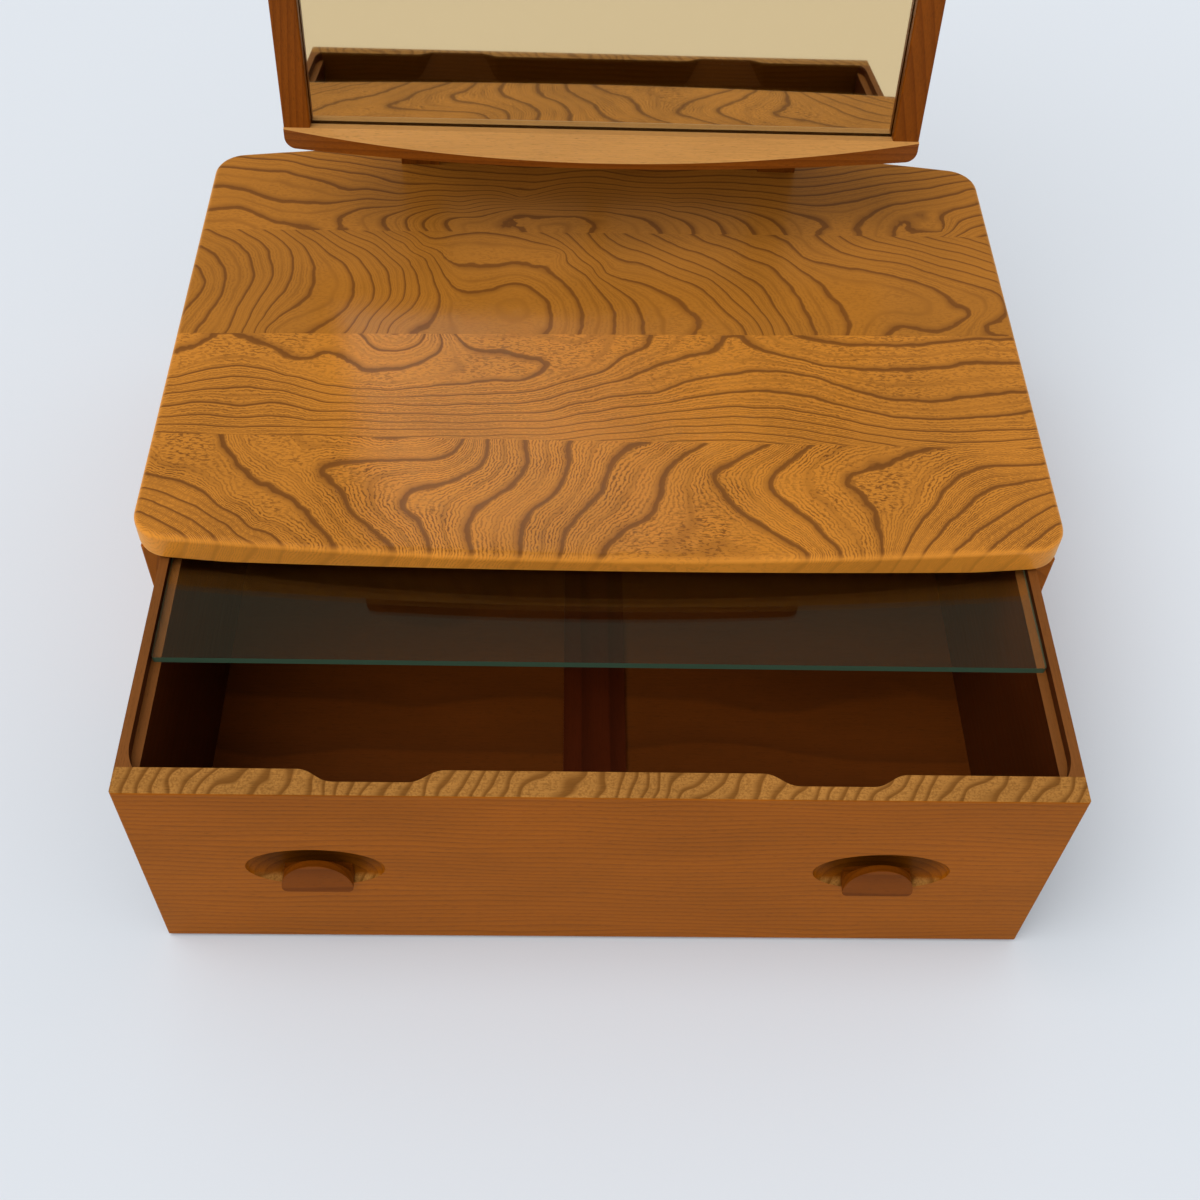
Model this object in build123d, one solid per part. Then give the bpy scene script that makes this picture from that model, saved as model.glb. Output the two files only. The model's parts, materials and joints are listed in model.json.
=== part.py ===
from build123d import *
import os
from math import cos, radians, sin

# Dressing mirror with a drawer, in elm: an open-fronted case, a drawer with a sliding glass tray,
# and a framed mirror that tilts on a stand behind.
# Millimetres. +Z is up, +X is to the right and the drawer pulls out towards -Y.
# The origin is the middle of the case's underside, on the surface that the case stands on.

# Case
case_width = 608.0
side_thickness = 13.0
edge_round = 1.5
case_bottom_thickness = 4.0
bottom_rebate = 5.0
back_thickness = 6.0
back_inset = 2.0
back_rebate = 7.0
runner_width = 16.0
runner_thickness = 3.0
runner_end_gap = 17.0
dowel_diameter = 8.0
dowel_length = 30.0
dowel_in_top = 12.0
dowels_per_side = 4
dowel_end_margin = 45.0

# Top board, glued up from four planks
top_side_overhang = 3.0
top_thickness = 22.0
top_front_overhang = 7.0
top_front_bow = 16.0
top_rear_overhang = 5.0
top_rear_bow = 26.0
top_corner_radius = 24.0
top_arris = 5.0
top_under_arris = 2.0
under_bevel_depth = 12.0
under_bevel_height = 10.0
# Each glue line's distance behind the case's front edge, at the board's left and right ends.
glue_lines = [(82.8, 81.7), (183.1, 196.6), (300.8, 310.6)]

# Drawer
drawer_length = 372.0
drawer_pulled_out = 186.0
drawer_side_gap = 0.7
drawer_top_gap = 1.8
drawer_floor_gap = 2.5
front_height = 185.5
front_thickness = 18.0
drawer_side_thickness = 12.5
drawer_back_thickness = 9.0
running_gap = 0.3
front_reveal = 1.0
dovetail_lap = 4.0
dovetail_slope = 1.0 / 7.0
tail_share = 0.66
front_tails = 5
back_tails = 4
drawer_bottom_thickness = 4.0
drawer_bottom_lift = 0.7
groove_depth = 5.0
muntin_width = 46.0
muntin_proud = 3.0
stop_gap = 0.5
stop_length = 9.5
stop_height = 25.0

# Finger scoops in the drawer front's inner top edge
scoop_centre = 139.0
scoop_width = 89.0
scoop_flat = 43.0
scoop_bite = 8.6
scoop_drop = 25.0

# Oval recesses and half-moon pulls
recess_centre = 180.0
recess_width = 88.0
recess_height = 46.0
recess_depth = 12.5
recess_below_top = 89.0
pull_width = 45.5
pull_height = 27.0
pull_corner = 4.0
pull_proud_low = 5.5
pull_proud_high = 2.0
pull_tongue = 4.5
pull_foot_height = 11.0
pull_foot_lift = 1.0

# Glass tray on its ledges
ledge_width = 6.4
ledge_drop = 8.0
ledge_end_radius = 34.0
ledge_end_length = 17.0
tray_thickness = 5.0
tray_depth = 200.0
tray_side_gap = 0.9
tray_set_back = 100.0
tray_corner = 2.0

# Mirror frame: sizes across the front, along the glass, and square to the glass
mirror_tilt = 7.24
mirror_width = 468.0
glass_foot_back = 320.0
glass_foot_height = 299.5
stile_width = 19.5
frame_lip = 7.0
frame_thickness = 22.0
glass_rebate = 6.0
sight_height = 416.0
lip_drop = 4.2
bottom_rail_height = 15.2
bottom_rail_bow = 22.5
bottom_rail_end_proud = 1.5
bottom_rail_bevel = 0.49
rail_corner_radius = 8.0
top_rail_height = 16.0
top_rail_arch = 12.0
top_corner = 10.0
frame_tenon_thickness = 7.0
frame_tenon_length = 9.0
frame_tenon_shoulder = 2.0
mirror_thickness = 4.0
backboard_thickness = 4.0
glass_edge_gap = 0.5
pin_diameter = 1.6
pin_length = 11.0
pin_bite = 7.0
pins_per_side = 4

# Stand and pivots
upright_centre = 144.0
upright_width = 30.0
upright_depth = 22.0
upright_back = 399.0
pivot_up = 215.0
upright_tenon = 12.0
upright_tenon_width = 18.0
upright_tenon_depth = 12.0
spindle_diameter = 17.0
spindle_neck = 12.5
spindle_tenon = 10.0
spindle_tenon_length = 10.0
spindle_straight = 10.0
cross_rail_height = 26.0
cross_rail_thickness = 16.0
cross_rail_below_pivot = 52.0
low_rail_height = 42.0
low_rail_thickness = 9.0
low_rail_lift = 1.5
low_rail_back_set = 1.5
rail_tenon_length = 10.0
rail_tenon_thickness = 7.0
rail_tenon_shoulder = 4.0
batten_height = 50.0
batten_thickness = 14.0
batten_end_set = 4.0
block_thickness = 24.5
block_nose = 14.0
block_root = 40.0
bolt_diameter = 8.0
bolt_blind_wall = 2.0
bolt_in_knob = 14.0
shaft_gap = 0.08
washer_diameter = 22.0
washer_thickness = 1.2
knob_diameter = 36.0
knob_length = 20.0
knob_lobes = 6
knob_lobe_cut = 7.0
knob_lobe_out = 1.5
knob_neck_inset = 1.0
knob_neck_length = 4.0
knob_flare = 4.5
knob_dome = 4.0
knob_face_share = 0.7
screw_diameter = 4.0
screw_head = 8.0
screw_rim = 0.6
screw_point = 4.0
stand_screw_length = 42.0
batten_screw_length = 24.0

# How far a cutting shape runs past the face it opens
cut_past = 1.0

# Places worked out from the sizes above
case_depth = drawer_length + stop_gap + stop_length + back_thickness + back_inset
case_front = -case_depth / 2
case_rear = case_depth / 2
case_height = drawer_floor_gap + front_height + drawer_top_gap
case_inner = case_width / 2 - side_thickness
top_z = case_height + top_thickness
top_width = case_width + 2 * top_side_overhang
shut_rear = case_front + drawer_length
drawer_top = drawer_floor_gap + front_height
drawer_face = case_front - drawer_pulled_out
drawer_inside = drawer_face + front_thickness
drawer_rear = drawer_face + drawer_length
drawer_half = case_inner - drawer_side_gap
drawer_inner = drawer_half - drawer_side_thickness
case_floor = case_bottom_thickness
runner_top = case_floor + runner_thickness
drawer_side_foot = runner_top + running_gap
drawer_floor_low = drawer_side_foot + drawer_bottom_lift
drawer_floor = drawer_floor_low + drawer_bottom_thickness
back_face = case_rear - back_inset - back_thickness
closed_gap_line = case_front + front_thickness + front_reveal
ledge_z = drawer_top - ledge_drop
tray_front = drawer_face + tray_set_back
mirror_place = Pos(0, case_front + glass_foot_back, glass_foot_height) * Rot(-mirror_tilt, 0, 0)
upright_y = case_front + upright_back
tilt = radians(mirror_tilt)
pivot_reach = ((upright_back - glass_foot_back) - pivot_up * sin(tilt)) / cos(tilt)
pivot_z = glass_foot_height + pivot_up * cos(tilt) - pivot_reach * sin(tilt)
frame_half = mirror_width / 2
sight_half = frame_half - stile_width
stile_middle = frame_half - (stile_width - glass_rebate) / 2
rail_top = -lip_drop
rail_foot = rail_top - bottom_rail_height
head_foot = rail_top + sight_height
head_top = head_foot + top_rail_height
frame_back = frame_thickness - frame_lip
batten_back = frame_back + batten_thickness
upright_inner = upright_centre - upright_width / 2
upright_outer = upright_centre + upright_width / 2
block_outer = upright_inner - running_gap - washer_thickness
cross_rail_z = pivot_z - cross_rail_below_pivot
low_rail_y = upright_y + upright_depth / 2 - low_rail_back_set - low_rail_thickness / 2
low_rail_z = top_z + low_rail_lift
knob_root = upright_outer + running_gap + washer_thickness


def span(x0, x1, y0, y1, z0, z1):
    """A block between two opposite corners."""
    middle = ((x0 + x1) / 2, (y0 + y1) / 2, (z0 + z1) / 2)
    return Pos(*middle) * Box(abs(x1 - x0), abs(y1 - y0), abs(z1 - z0))


def rod(diameter, length, axis, x, y, z):
    """A round bar along an axis, centred on a point."""
    turn = {"X": Rot(0, 90, 0), "Y": Rot(90, 0, 0), "Z": Rot(0, 0, 0)}[axis]
    return Pos(x, y, z) * turn * Cylinder(diameter / 2, length)


def mirrored(shape):
    """The left-hand copy of a right-hand piece."""
    return shape.mirror(Plane.YZ)


def save(name, shape):
    """Writes one piece as a STEP file."""
    solids = shape.solids()
    piece = solids[0] if len(solids) == 1 else Compound(children=solids)
    piece.label = name
    export_step(piece, f"parts/{name}.step")


# Top board
def top_board():
    """The bow-fronted board with its rounded arris and the long bevel under its front edge."""
    half = top_width / 2
    front_corner = case_front - top_front_overhang
    front_middle = front_corner - top_front_bow
    rear_corner = case_rear + top_rear_overhang
    rear_middle = rear_corner + top_rear_bow
    front = ThreePointArc((-half, front_corner), (0, front_middle), (half, front_corner))
    right = Line((half, front_corner), (half, rear_corner))
    rear = ThreePointArc((half, rear_corner), (0, rear_middle), (-half, rear_corner))
    left = Line((-half, rear_corner), (-half, front_corner))
    outline = make_face([front, right, rear, left])
    outline = fillet(outline.vertices(), top_corner_radius)
    board = Pos(0, 0, case_height) * extrude(outline, top_thickness)
    board = fillet(board.faces().sort_by(Axis.Z)[-1].edges(), top_arris)
    board = fillet(board.faces().sort_by(Axis.Z)[0].edges(), top_under_arris)
    heel = front_middle + under_bevel_depth
    reach = under_bevel_depth * 3
    rise = reach * under_bevel_height / under_bevel_depth
    wedge = Polyline((heel, case_height), (heel - reach, case_height),
                     (heel - reach, case_height + rise), close=True)
    cutter = extrude(Plane.YZ * make_face(wedge), half * 2, both=True)
    return board - cutter


def top_dowel_spots():
    """Dowel centres along one side, as distances along Y."""
    run = case_depth - 2 * dowel_end_margin
    step = run / (dowels_per_side - 1)
    return [case_front + dowel_end_margin + i * step for i in range(dowels_per_side)]


def dowels(x):
    """The row of dowels between one side and the top."""
    middle = case_height + dowel_in_top - dowel_length / 2
    return [rod(dowel_diameter, dowel_length, "Z", x, y, middle) for y in top_dowel_spots()]


def top_planks(board):
    """The board parted along its three glue lines."""
    half = top_width
    edges = [(case_front - half, case_front - half)]
    edges += [(case_front + a, case_front + b) for a, b in glue_lines]
    edges += [(case_rear + half, case_rear + half)]
    planks = []
    for near, far in zip(edges, edges[1:]):
        slope_near = (near[1] - near[0]) / top_width
        slope_far = (far[1] - far[0]) / top_width
        mid_near = (near[0] + near[1]) / 2
        mid_far = (far[0] + far[1]) / 2
        corners = [(-half, mid_near - slope_near * half), (half, mid_near + slope_near * half),
                   (half, mid_far + slope_far * half), (-half, mid_far - slope_far * half)]
        strip = extrude(make_face(Polyline(*corners, close=True)), top_z * 2)
        planks.append(board & strip)
    return planks


# Case
def case_side():
    """The right-hand side, rebated along its foot for the bottom and behind for the back."""
    outer = case_width / 2
    side = span(case_inner, outer, case_front, case_rear, 0, case_height)
    front_edges = side.edges().filter_by(Axis.Z).group_by(Axis.Y)[0]
    side = fillet(front_edges, edge_round)
    foot_rebate = span(case_inner, case_inner + bottom_rebate, closed_gap_line, case_rear,
                   0, case_floor)
    rebate = span(case_inner, case_inner + back_rebate, back_face, case_rear, 0, case_height)
    return side - foot_rebate - rebate


def case_bottom():
    """The thin bottom, let into rebates along the feet of both sides."""
    half = case_inner + bottom_rebate
    return span(-half, half, closed_gap_line, back_face, 0, case_floor)


def case_back():
    """The back, in the rebates of the sides."""
    half = case_inner + back_rebate
    return span(-half, half, back_face, back_face + back_thickness, 0, case_height)


def runner():
    """The waxed strip that the right-hand drawer side rides on."""
    return span(case_inner - runner_width, case_inner, closed_gap_line, shut_rear - runner_end_gap,
                case_floor, runner_top)


def drawer_stop():
    """The block that the right-hand drawer side meets when the drawer is shut."""
    return span(case_inner - runner_width, case_inner, shut_rear + stop_gap, back_face,
                case_floor, case_floor + stop_height)


# Drawer
def tails(count, z0, z1, root, tip):
    """A row of dovetails on the right-hand side's end, wider at the tip than at the root."""
    pitch = (z1 - z0) / count
    flare = abs(tip - root) * dovetail_slope
    wide = pitch * tail_share
    row = None
    for i in range(count):
        middle = z0 + pitch * (i + 0.5)
        half_tip = wide / 2
        half_root = wide / 2 - flare
        outline = Polyline((root, middle - half_root), (tip, middle - half_tip),
                           (tip, middle + half_tip), (root, middle + half_root), close=True)
        tail = extrude(Plane.YZ.offset(drawer_inner) * make_face(outline), drawer_side_thickness)
        row = tail if row is None else row + tail
    return row


def front_tail_row():
    """The lapped dovetails behind the drawer front."""
    return tails(front_tails, drawer_side_foot, drawer_top, drawer_inside,
                 drawer_face + dovetail_lap)


def back_tail_row():
    """The through dovetails at the drawer's back."""
    return tails(back_tails, drawer_floor, drawer_top, drawer_rear - drawer_back_thickness,
                 drawer_rear)


def ledge_cut():
    """The rebate for the glass, run out at the front on a round cutter."""
    wall = drawer_inner + ledge_width
    start = drawer_inside + ledge_end_length
    end = drawer_rear - drawer_back_thickness
    straight = span(drawer_inner, wall, start, end, ledge_z, drawer_top)
    disc = Pos(wall - ledge_end_radius, start, (ledge_z + drawer_top) / 2) * Cylinder(
        ledge_end_radius, ledge_drop)
    window = span(drawer_inner, wall, drawer_inside, start, ledge_z, drawer_top)
    return straight + (disc & window)


def drawer_side():
    """The right-hand side with its dovetails, glass ledge and bottom groove."""
    end = drawer_rear - drawer_back_thickness
    side = span(drawer_inner, drawer_half, drawer_inside, end, drawer_side_foot, drawer_top)
    under_back = span(drawer_inner, drawer_half, end, drawer_rear, drawer_side_foot, drawer_floor)
    side = side + under_back + front_tail_row() + back_tail_row()
    groove = span(drawer_inner, drawer_inner + groove_depth, drawer_inside, drawer_rear,
                  drawer_floor_low, drawer_floor)
    return side - ledge_cut() - groove


def scoop(x):
    """One finger scoop: an ogee bite at the top edge that dies out down the inner face."""
    half = scoop_width / 2
    flat = scoop_flat / 2
    edge = drawer_inside
    inside = edge + cut_past
    deep = edge - scoop_bite
    left = Spline((x - half, edge), (x - flat, deep), tangents=((1, 0), (1, 0)))
    right = Spline((x + flat, deep), (x + half, edge), tangents=((1, 0), (1, 0)))
    floor = Line((x - flat, deep), (x + flat, deep))
    rest = Polyline((x + half, edge), (x + half, inside), (x - half, inside), (x - half, edge))
    bite = make_face([left, floor, right, rest])
    column = Pos(0, 0, drawer_top - 2 * scoop_drop) * extrude(bite, scoop_drop * 3)
    run_out = edge + scoop_bite
    slope = Polyline((run_out, drawer_top - 2 * scoop_drop), (run_out, drawer_top + scoop_drop),
                     (deep - scoop_bite, drawer_top + scoop_drop), close=True)
    wedge = Pos(x - scoop_width, 0, 0) * extrude(Plane.YZ * make_face(slope), scoop_width * 2)
    return column & wedge


def recess(x):
    """One scooped oval hollow in the drawer's face."""
    ball = Sphere(recess_width / 2)
    ball = scale(ball, (1, 2 * recess_depth / recess_width, recess_height / recess_width))
    return Pos(x, drawer_face, drawer_top - recess_below_top) * ball


def drawer_front():
    """The inset front with its lapped dovetails, scoops, recesses and bottom groove."""
    front = span(-drawer_half, drawer_half, drawer_face, drawer_inside, drawer_floor_gap, drawer_top)
    front = fillet(front.edges().group_by(Axis.Y)[0], edge_round)
    sockets = front_tail_row()
    front = front - sockets - mirrored(sockets)
    groove_half = drawer_inner + groove_depth
    groove = span(-groove_half, groove_half, drawer_inside - groove_depth, drawer_inside,
                  drawer_floor_low, drawer_floor)
    front = front - groove
    for side in (-1, 1):
        front = front - scoop(side * scoop_centre)
        front = front - recess(side * recess_centre)
    return front


def pull(x, front):
    """One half-moon pull: a tongue in front of the hollow, on a foot that fills its lower part."""
    low = drawer_top - recess_below_top - recess_height / 2 + pull_foot_lift
    crest = low + pull_height
    half = pull_width / 2
    shoulder = crest - half
    arch = ThreePointArc((x - half, shoulder), (x, crest), (x + half, shoulder))
    foot = Polyline((x + half, shoulder), (x + half, low), (x - half, low), (x - half, shoulder))
    face = make_face([arch, foot])
    face = fillet(face.vertices().group_by(Axis.Y)[0], pull_corner)
    block = extrude(Plane.XZ.offset(-drawer_face - recess_depth) * face,
                    recess_depth + pull_proud_low + cut_past)
    outer = drawer_face - pull_proud_low - 2 * cut_past
    skin = Polyline((drawer_face - pull_proud_low, low), (drawer_face - pull_proud_high, crest),
                    (drawer_face - pull_proud_high, crest + cut_past), (outer, crest + cut_past),
                    (outer, low - cut_past), (drawer_face - pull_proud_low, low - cut_past),
                    close=True)
    planed = extrude(Plane.YZ.offset(x) * make_face(skin), pull_width, both=True)
    tongue_back = drawer_face - pull_proud_high + pull_tongue
    hollow = span(x - pull_width, x + pull_width, tongue_back, drawer_inside,
                  low + pull_foot_height, crest + cut_past)
    return block - planed - hollow - front


def drawer_back():
    """The drawer's back, dovetailed through, standing on the bottom panels."""
    back = span(-drawer_half, drawer_half, drawer_rear - drawer_back_thickness, drawer_rear,
                drawer_floor, drawer_top)
    pins = back_tail_row()
    return back - pins - mirrored(pins)


def drawer_panel():
    """The right-hand bottom panel, in the grooves of the side, front and muntin."""
    return span(muntin_width / 2 - groove_depth, drawer_inner + groove_depth,
                drawer_inside - groove_depth, drawer_rear, drawer_floor_low, drawer_floor)


def drawer_muntin():
    """The wide flat bar down the middle that both bottom panels enter."""
    half = muntin_width / 2
    bar = span(-half, half, drawer_inside, drawer_rear, drawer_side_foot,
               drawer_floor + muntin_proud)
    tongue = span(-half + groove_depth, half - groove_depth, drawer_inside - groove_depth,
                  drawer_inside, drawer_floor_low, drawer_floor)
    notch = span(-half, half, drawer_rear - drawer_back_thickness, drawer_rear,
                 drawer_floor, drawer_floor + muntin_proud)
    bar = bar + tongue - notch
    for side in (-1, 1):
        bar = bar - span(side * (half - groove_depth), side * half, drawer_inside, drawer_rear,
                         drawer_floor_low, drawer_floor)
    return bar


def glass_tray():
    """The loose glass shelf, lying across both ledges."""
    half = drawer_inner + ledge_width - tray_side_gap
    low = ledge_z + running_gap
    plate = span(-half, half, tray_front, tray_front + tray_depth, low, low + tray_thickness)
    return fillet(plate.edges().filter_by(Axis.Z), tray_corner)


# Mirror, drawn square to its glass: Z runs up the glass from its foot, -Y is in front of it
def frame_tenon(x, z):
    """One stub tenon between a stile and a rail, up from a height."""
    half = (stile_width - glass_rebate) / 2 - frame_tenon_shoulder
    return span(x - half, x + half, -frame_tenon_thickness / 2, frame_tenon_thickness / 2,
                z, z + frame_tenon_length)


def stile():
    """The right-hand stile with its glass rebate and a stub tenon at each end."""
    post = span(sight_half, frame_half, -frame_lip, frame_back, rail_top, head_foot)
    front_edges = post.edges().filter_by(Axis.Z).group_by(Axis.Y)[0]
    post = fillet(front_edges, edge_round)
    rebate = span(sight_half, sight_half + glass_rebate, 0, frame_back, rail_top, head_foot)
    foot = frame_tenon(stile_middle, rail_top - frame_tenon_length)
    head = frame_tenon(stile_middle, head_foot)
    return post - rebate + foot + head


def frame_mortises(z):
    """Both stiles' mortises in a rail."""
    return frame_tenon(stile_middle, z) + frame_tenon(-stile_middle, z)


def bottom_rail():
    """The bow-fronted bottom rail with its planed bevel and rounded lower corners."""
    end = -frame_lip - bottom_rail_end_proud
    front = ThreePointArc((-frame_half, end), (0, -frame_lip - bottom_rail_bow), (frame_half, end))
    sides = Polyline((frame_half, end), (frame_half, frame_back), (-frame_half, frame_back),
                     (-frame_half, end))
    rail = Pos(0, 0, rail_foot) * extrude(make_face([front, sides]), bottom_rail_height)
    lower_ends = rail.edges().filter_by(Axis.Y).group_by(Axis.Z)[0]
    rail = fillet(lower_ends, rail_corner_radius)
    reach = bottom_rail_bow * 2
    bevel = Polyline((-frame_lip, rail_top), (-frame_lip - reach, rail_top),
                     (-frame_lip - reach, rail_top - reach * bottom_rail_bevel), close=True)
    rail = rail - extrude(Plane.YZ * make_face(bevel), mirror_width, both=True)
    half = sight_half + glass_rebate
    rebate = span(-half, half, 0, frame_back, rail_top - glass_rebate, rail_top)
    return rail - rebate - frame_mortises(rail_top - frame_tenon_length)


def top_rail():
    """The top rail with a gently arched upper edge."""
    foot_line = Line((-frame_half, head_foot), (frame_half, head_foot))
    right = Line((frame_half, head_foot), (frame_half, head_top))
    arch = ThreePointArc((frame_half, head_top), (0, head_top + top_rail_arch),
                         (-frame_half, head_top))
    left = Line((-frame_half, head_top), (-frame_half, head_foot))
    face = make_face([foot_line, right, arch, left])
    corners = face.vertices().filter_by(lambda v: v.Y > head_foot + cut_past)
    face = fillet(corners, top_corner)
    rail = extrude(Plane.XZ.offset(-frame_back) * face, frame_thickness)
    front_edge = rail.faces().sort_by(Axis.Y)[0].edges()
    long_edges = front_edge.filter_by(lambda e: e.center().Z > head_foot + cut_past)
    rail = fillet(long_edges, edge_round)
    half = sight_half + glass_rebate
    rebate = span(-half, half, 0, frame_back, head_foot, head_foot + glass_rebate)
    return rail - rebate - frame_mortises(head_foot)


def mirror_glass():
    """The silvered glass in its rebate."""
    half = sight_half + glass_rebate - glass_edge_gap
    return span(-half, half, 0, mirror_thickness, rail_top - glass_rebate + glass_edge_gap,
                head_foot + glass_rebate - glass_edge_gap)


def backboard():
    """The board behind the glass."""
    half = sight_half + glass_rebate - glass_edge_gap
    return span(-half, half, mirror_thickness, mirror_thickness + backboard_thickness,
                rail_top - glass_rebate + glass_edge_gap, head_foot + glass_rebate - glass_edge_gap)


def backboard_pins():
    """The panel pins that hold the backboard, driven into both stiles."""
    y = mirror_thickness + backboard_thickness + pin_diameter / 2
    wall = sight_half + glass_rebate
    middle = wall + pin_bite - pin_length / 2
    step = sight_height / pins_per_side
    heights = [rail_top + step * (i + 0.5) for i in range(pins_per_side)]
    return [rod(pin_diameter, pin_length, "X", side * middle, y, z)
            for side in (-1, 1) for z in heights]


def batten():
    """The bar across the back of the frame that carries the pivots."""
    half = frame_half - batten_end_set
    bar = span(-half, half, frame_back, batten_back, pivot_up - batten_height / 2,
               pivot_up + batten_height / 2)
    return fillet(bar.edges().group_by(Axis.Y)[-1], edge_round)


def pivot_block():
    """The right-hand block, tapered back to a round nose about the pivot."""
    nose = block_nose
    reach = pivot_reach
    half_root = block_root / 2
    outline = Polyline((batten_back, pivot_up - half_root), (reach, pivot_up - nose),
                       (reach, pivot_up + nose), (batten_back, pivot_up + half_root), close=True)
    web = make_face(outline) + Pos(reach, pivot_up) * Circle(nose)
    block = extrude(Plane.YZ.offset(block_outer - block_thickness) * web, block_thickness)
    bore = 2 * (block_thickness - bolt_blind_wall)
    return block - rod(bolt_diameter, bore, "X", block_outer, reach, pivot_up)


def screw(length, head_at, direction):
    """A countersunk wood screw that points along -Y or +Z, with its head's flat at head_at."""
    head = screw_head / 2
    shank = screw_diameter / 2
    profile = Polyline((0, 0), (head, 0), (shank, head - shank + screw_rim),
                       (shank, length - screw_point), (0, length), close=True)
    body = revolve(Plane.XZ * make_face(profile), Axis.Z)
    turn = {"Z": Rot(0, 0, 0), "Y": Rot(90, 0, 0)}[direction]
    return Pos(*head_at) * turn * body


def batten_screws():
    """Four screws through the batten into the stiles."""
    spots = [(side * stile_middle, batten_back, pivot_up + dz) for side in (-1, 1)
             for dz in (-batten_height / 4, batten_height / 4)]
    return [screw(batten_screw_length, spot, "Y") for spot in spots]


def pivot_bolt():
    """The right-hand pivot bolt, fast in its block, drawn along X at the origin."""
    start = block_outer - block_thickness + bolt_blind_wall
    end = knob_root + bolt_in_knob
    return rod(bolt_diameter, end - start, "X", (start + end) / 2, 0, 0)


def friction_washer():
    """The fibre washer between the block and the upright, drawn at the origin."""
    x = block_outer + washer_thickness / 2
    ring = rod(washer_diameter, washer_thickness, "X", x, 0, 0)
    return ring - rod(bolt_diameter, washer_thickness * 3, "X", x, 0, 0)


def knob_washer():
    """The steel washer under the knob, drawn at the origin."""
    x = upright_outer + running_gap + washer_thickness / 2
    ring = rod(washer_diameter, washer_thickness, "X", x, 0, 0)
    return ring - rod(bolt_diameter + 2 * shaft_gap, washer_thickness * 3, "X", x, 0, 0)


def clamp_knob():
    """The turned and scalloped hand knob on the bolt's end, drawn at the origin."""
    r = knob_diameter / 2
    neck = washer_diameter / 2 - knob_neck_inset
    flare = knob_root + knob_neck_length + knob_flare
    end = knob_root + knob_length
    face = r * knob_face_share
    profile = Polyline((knob_root, 0), (knob_root, neck), (knob_root + knob_neck_length, neck),
                       (flare, r), (end - knob_dome, r), (end, face), (end, 0), close=True)
    knob = revolve(make_face(profile), Axis.X)
    lobe = rod(knob_lobe_cut, 2 * knob_length, "X", knob_root + knob_neck_length + knob_length, 0,
               r + knob_lobe_out)
    for i in range(knob_lobes):
        knob = knob - Rot(360.0 / knob_lobes * i, 0, 0) * lobe
    bore = 2 * (bolt_in_knob + running_gap)
    return knob - rod(bolt_diameter + 2 * shaft_gap, bore, "X", knob_root, 0, 0)


# Stand, fixed on the top board's rear overhang
def upright():
    """The right-hand upright with a round head and a stub tenon in the board."""
    y0 = upright_y - upright_depth / 2
    y1 = upright_y + upright_depth / 2
    post = span(upright_inner, upright_outer, y0, y1, top_z, pivot_z)
    post = post + rod(upright_depth, upright_width, "X", upright_centre, upright_y, pivot_z)
    post = post + upright_stub()
    post = post - rod(bolt_diameter + 2 * shaft_gap, upright_width * 2, "X", upright_centre,
                      upright_y, pivot_z)
    return post


def upright_stub():
    """The right-hand upright's tenon."""
    return span(upright_centre - upright_tenon_width / 2, upright_centre + upright_tenon_width / 2,
                upright_y - upright_tenon_depth / 2, upright_y + upright_tenon_depth / 2,
                top_z - upright_tenon, top_z)


def rail_tenon(z0, z1, y):
    """The tenon of a rail between two heights, in the right-hand upright."""
    return span(upright_inner, upright_inner + rail_tenon_length, y - rail_tenon_thickness / 2,
                y + rail_tenon_thickness / 2, z0 + rail_tenon_shoulder, z1 - rail_tenon_shoulder)


def cross_rail():
    """The rail that joins both uprights below the pivots."""
    bar = span(-upright_inner, upright_inner, upright_y - cross_rail_thickness / 2,
               upright_y + cross_rail_thickness / 2, cross_rail_z - cross_rail_height,
               cross_rail_z)
    bar = fillet(bar.edges().filter_by(Axis.X), edge_round)
    tenon = rail_tenon(cross_rail_z - cross_rail_height, cross_rail_z, upright_y)
    return bar + tenon + mirrored(tenon)


def low_rail():
    """The rail just above the board, lapped by the spindle."""
    bar = span(-upright_inner, upright_inner, low_rail_y - low_rail_thickness / 2,
               low_rail_y + low_rail_thickness / 2, low_rail_z, low_rail_z + low_rail_height)
    bar = fillet(bar.edges().filter_by(Axis.X), edge_round)
    tenon = rail_tenon(low_rail_z, low_rail_z + low_rail_height, low_rail_y)
    return bar + tenon + mirrored(tenon)


def spindle():
    """The turned middle spindle, from the board up to the cross rail."""
    foot = top_z
    head = cross_rail_z - cross_rail_height
    r = spindle_diameter / 2
    neck = spindle_neck / 2
    stub = spindle_tenon / 2
    low_tip = foot - spindle_tenon_length
    high_tip = head + spindle_tenon_length
    straight = low_rail_z + low_rail_height + spindle_straight
    outline = Polyline((0, low_tip), (stub, low_tip), (stub, foot), (r, foot), (r, straight),
                       (neck, head), (stub, head), (stub, high_tip), (0, high_tip), close=True)
    body = revolve(Plane.XZ * make_face(outline), Axis.Z)
    return Pos(0, upright_y, 0) * body


def stand_screws():
    """Two screws up through the board into the uprights."""
    return [screw(stand_screw_length, (side * upright_centre, upright_y, case_height), "Z")
            for side in (-1, 1)]


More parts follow.
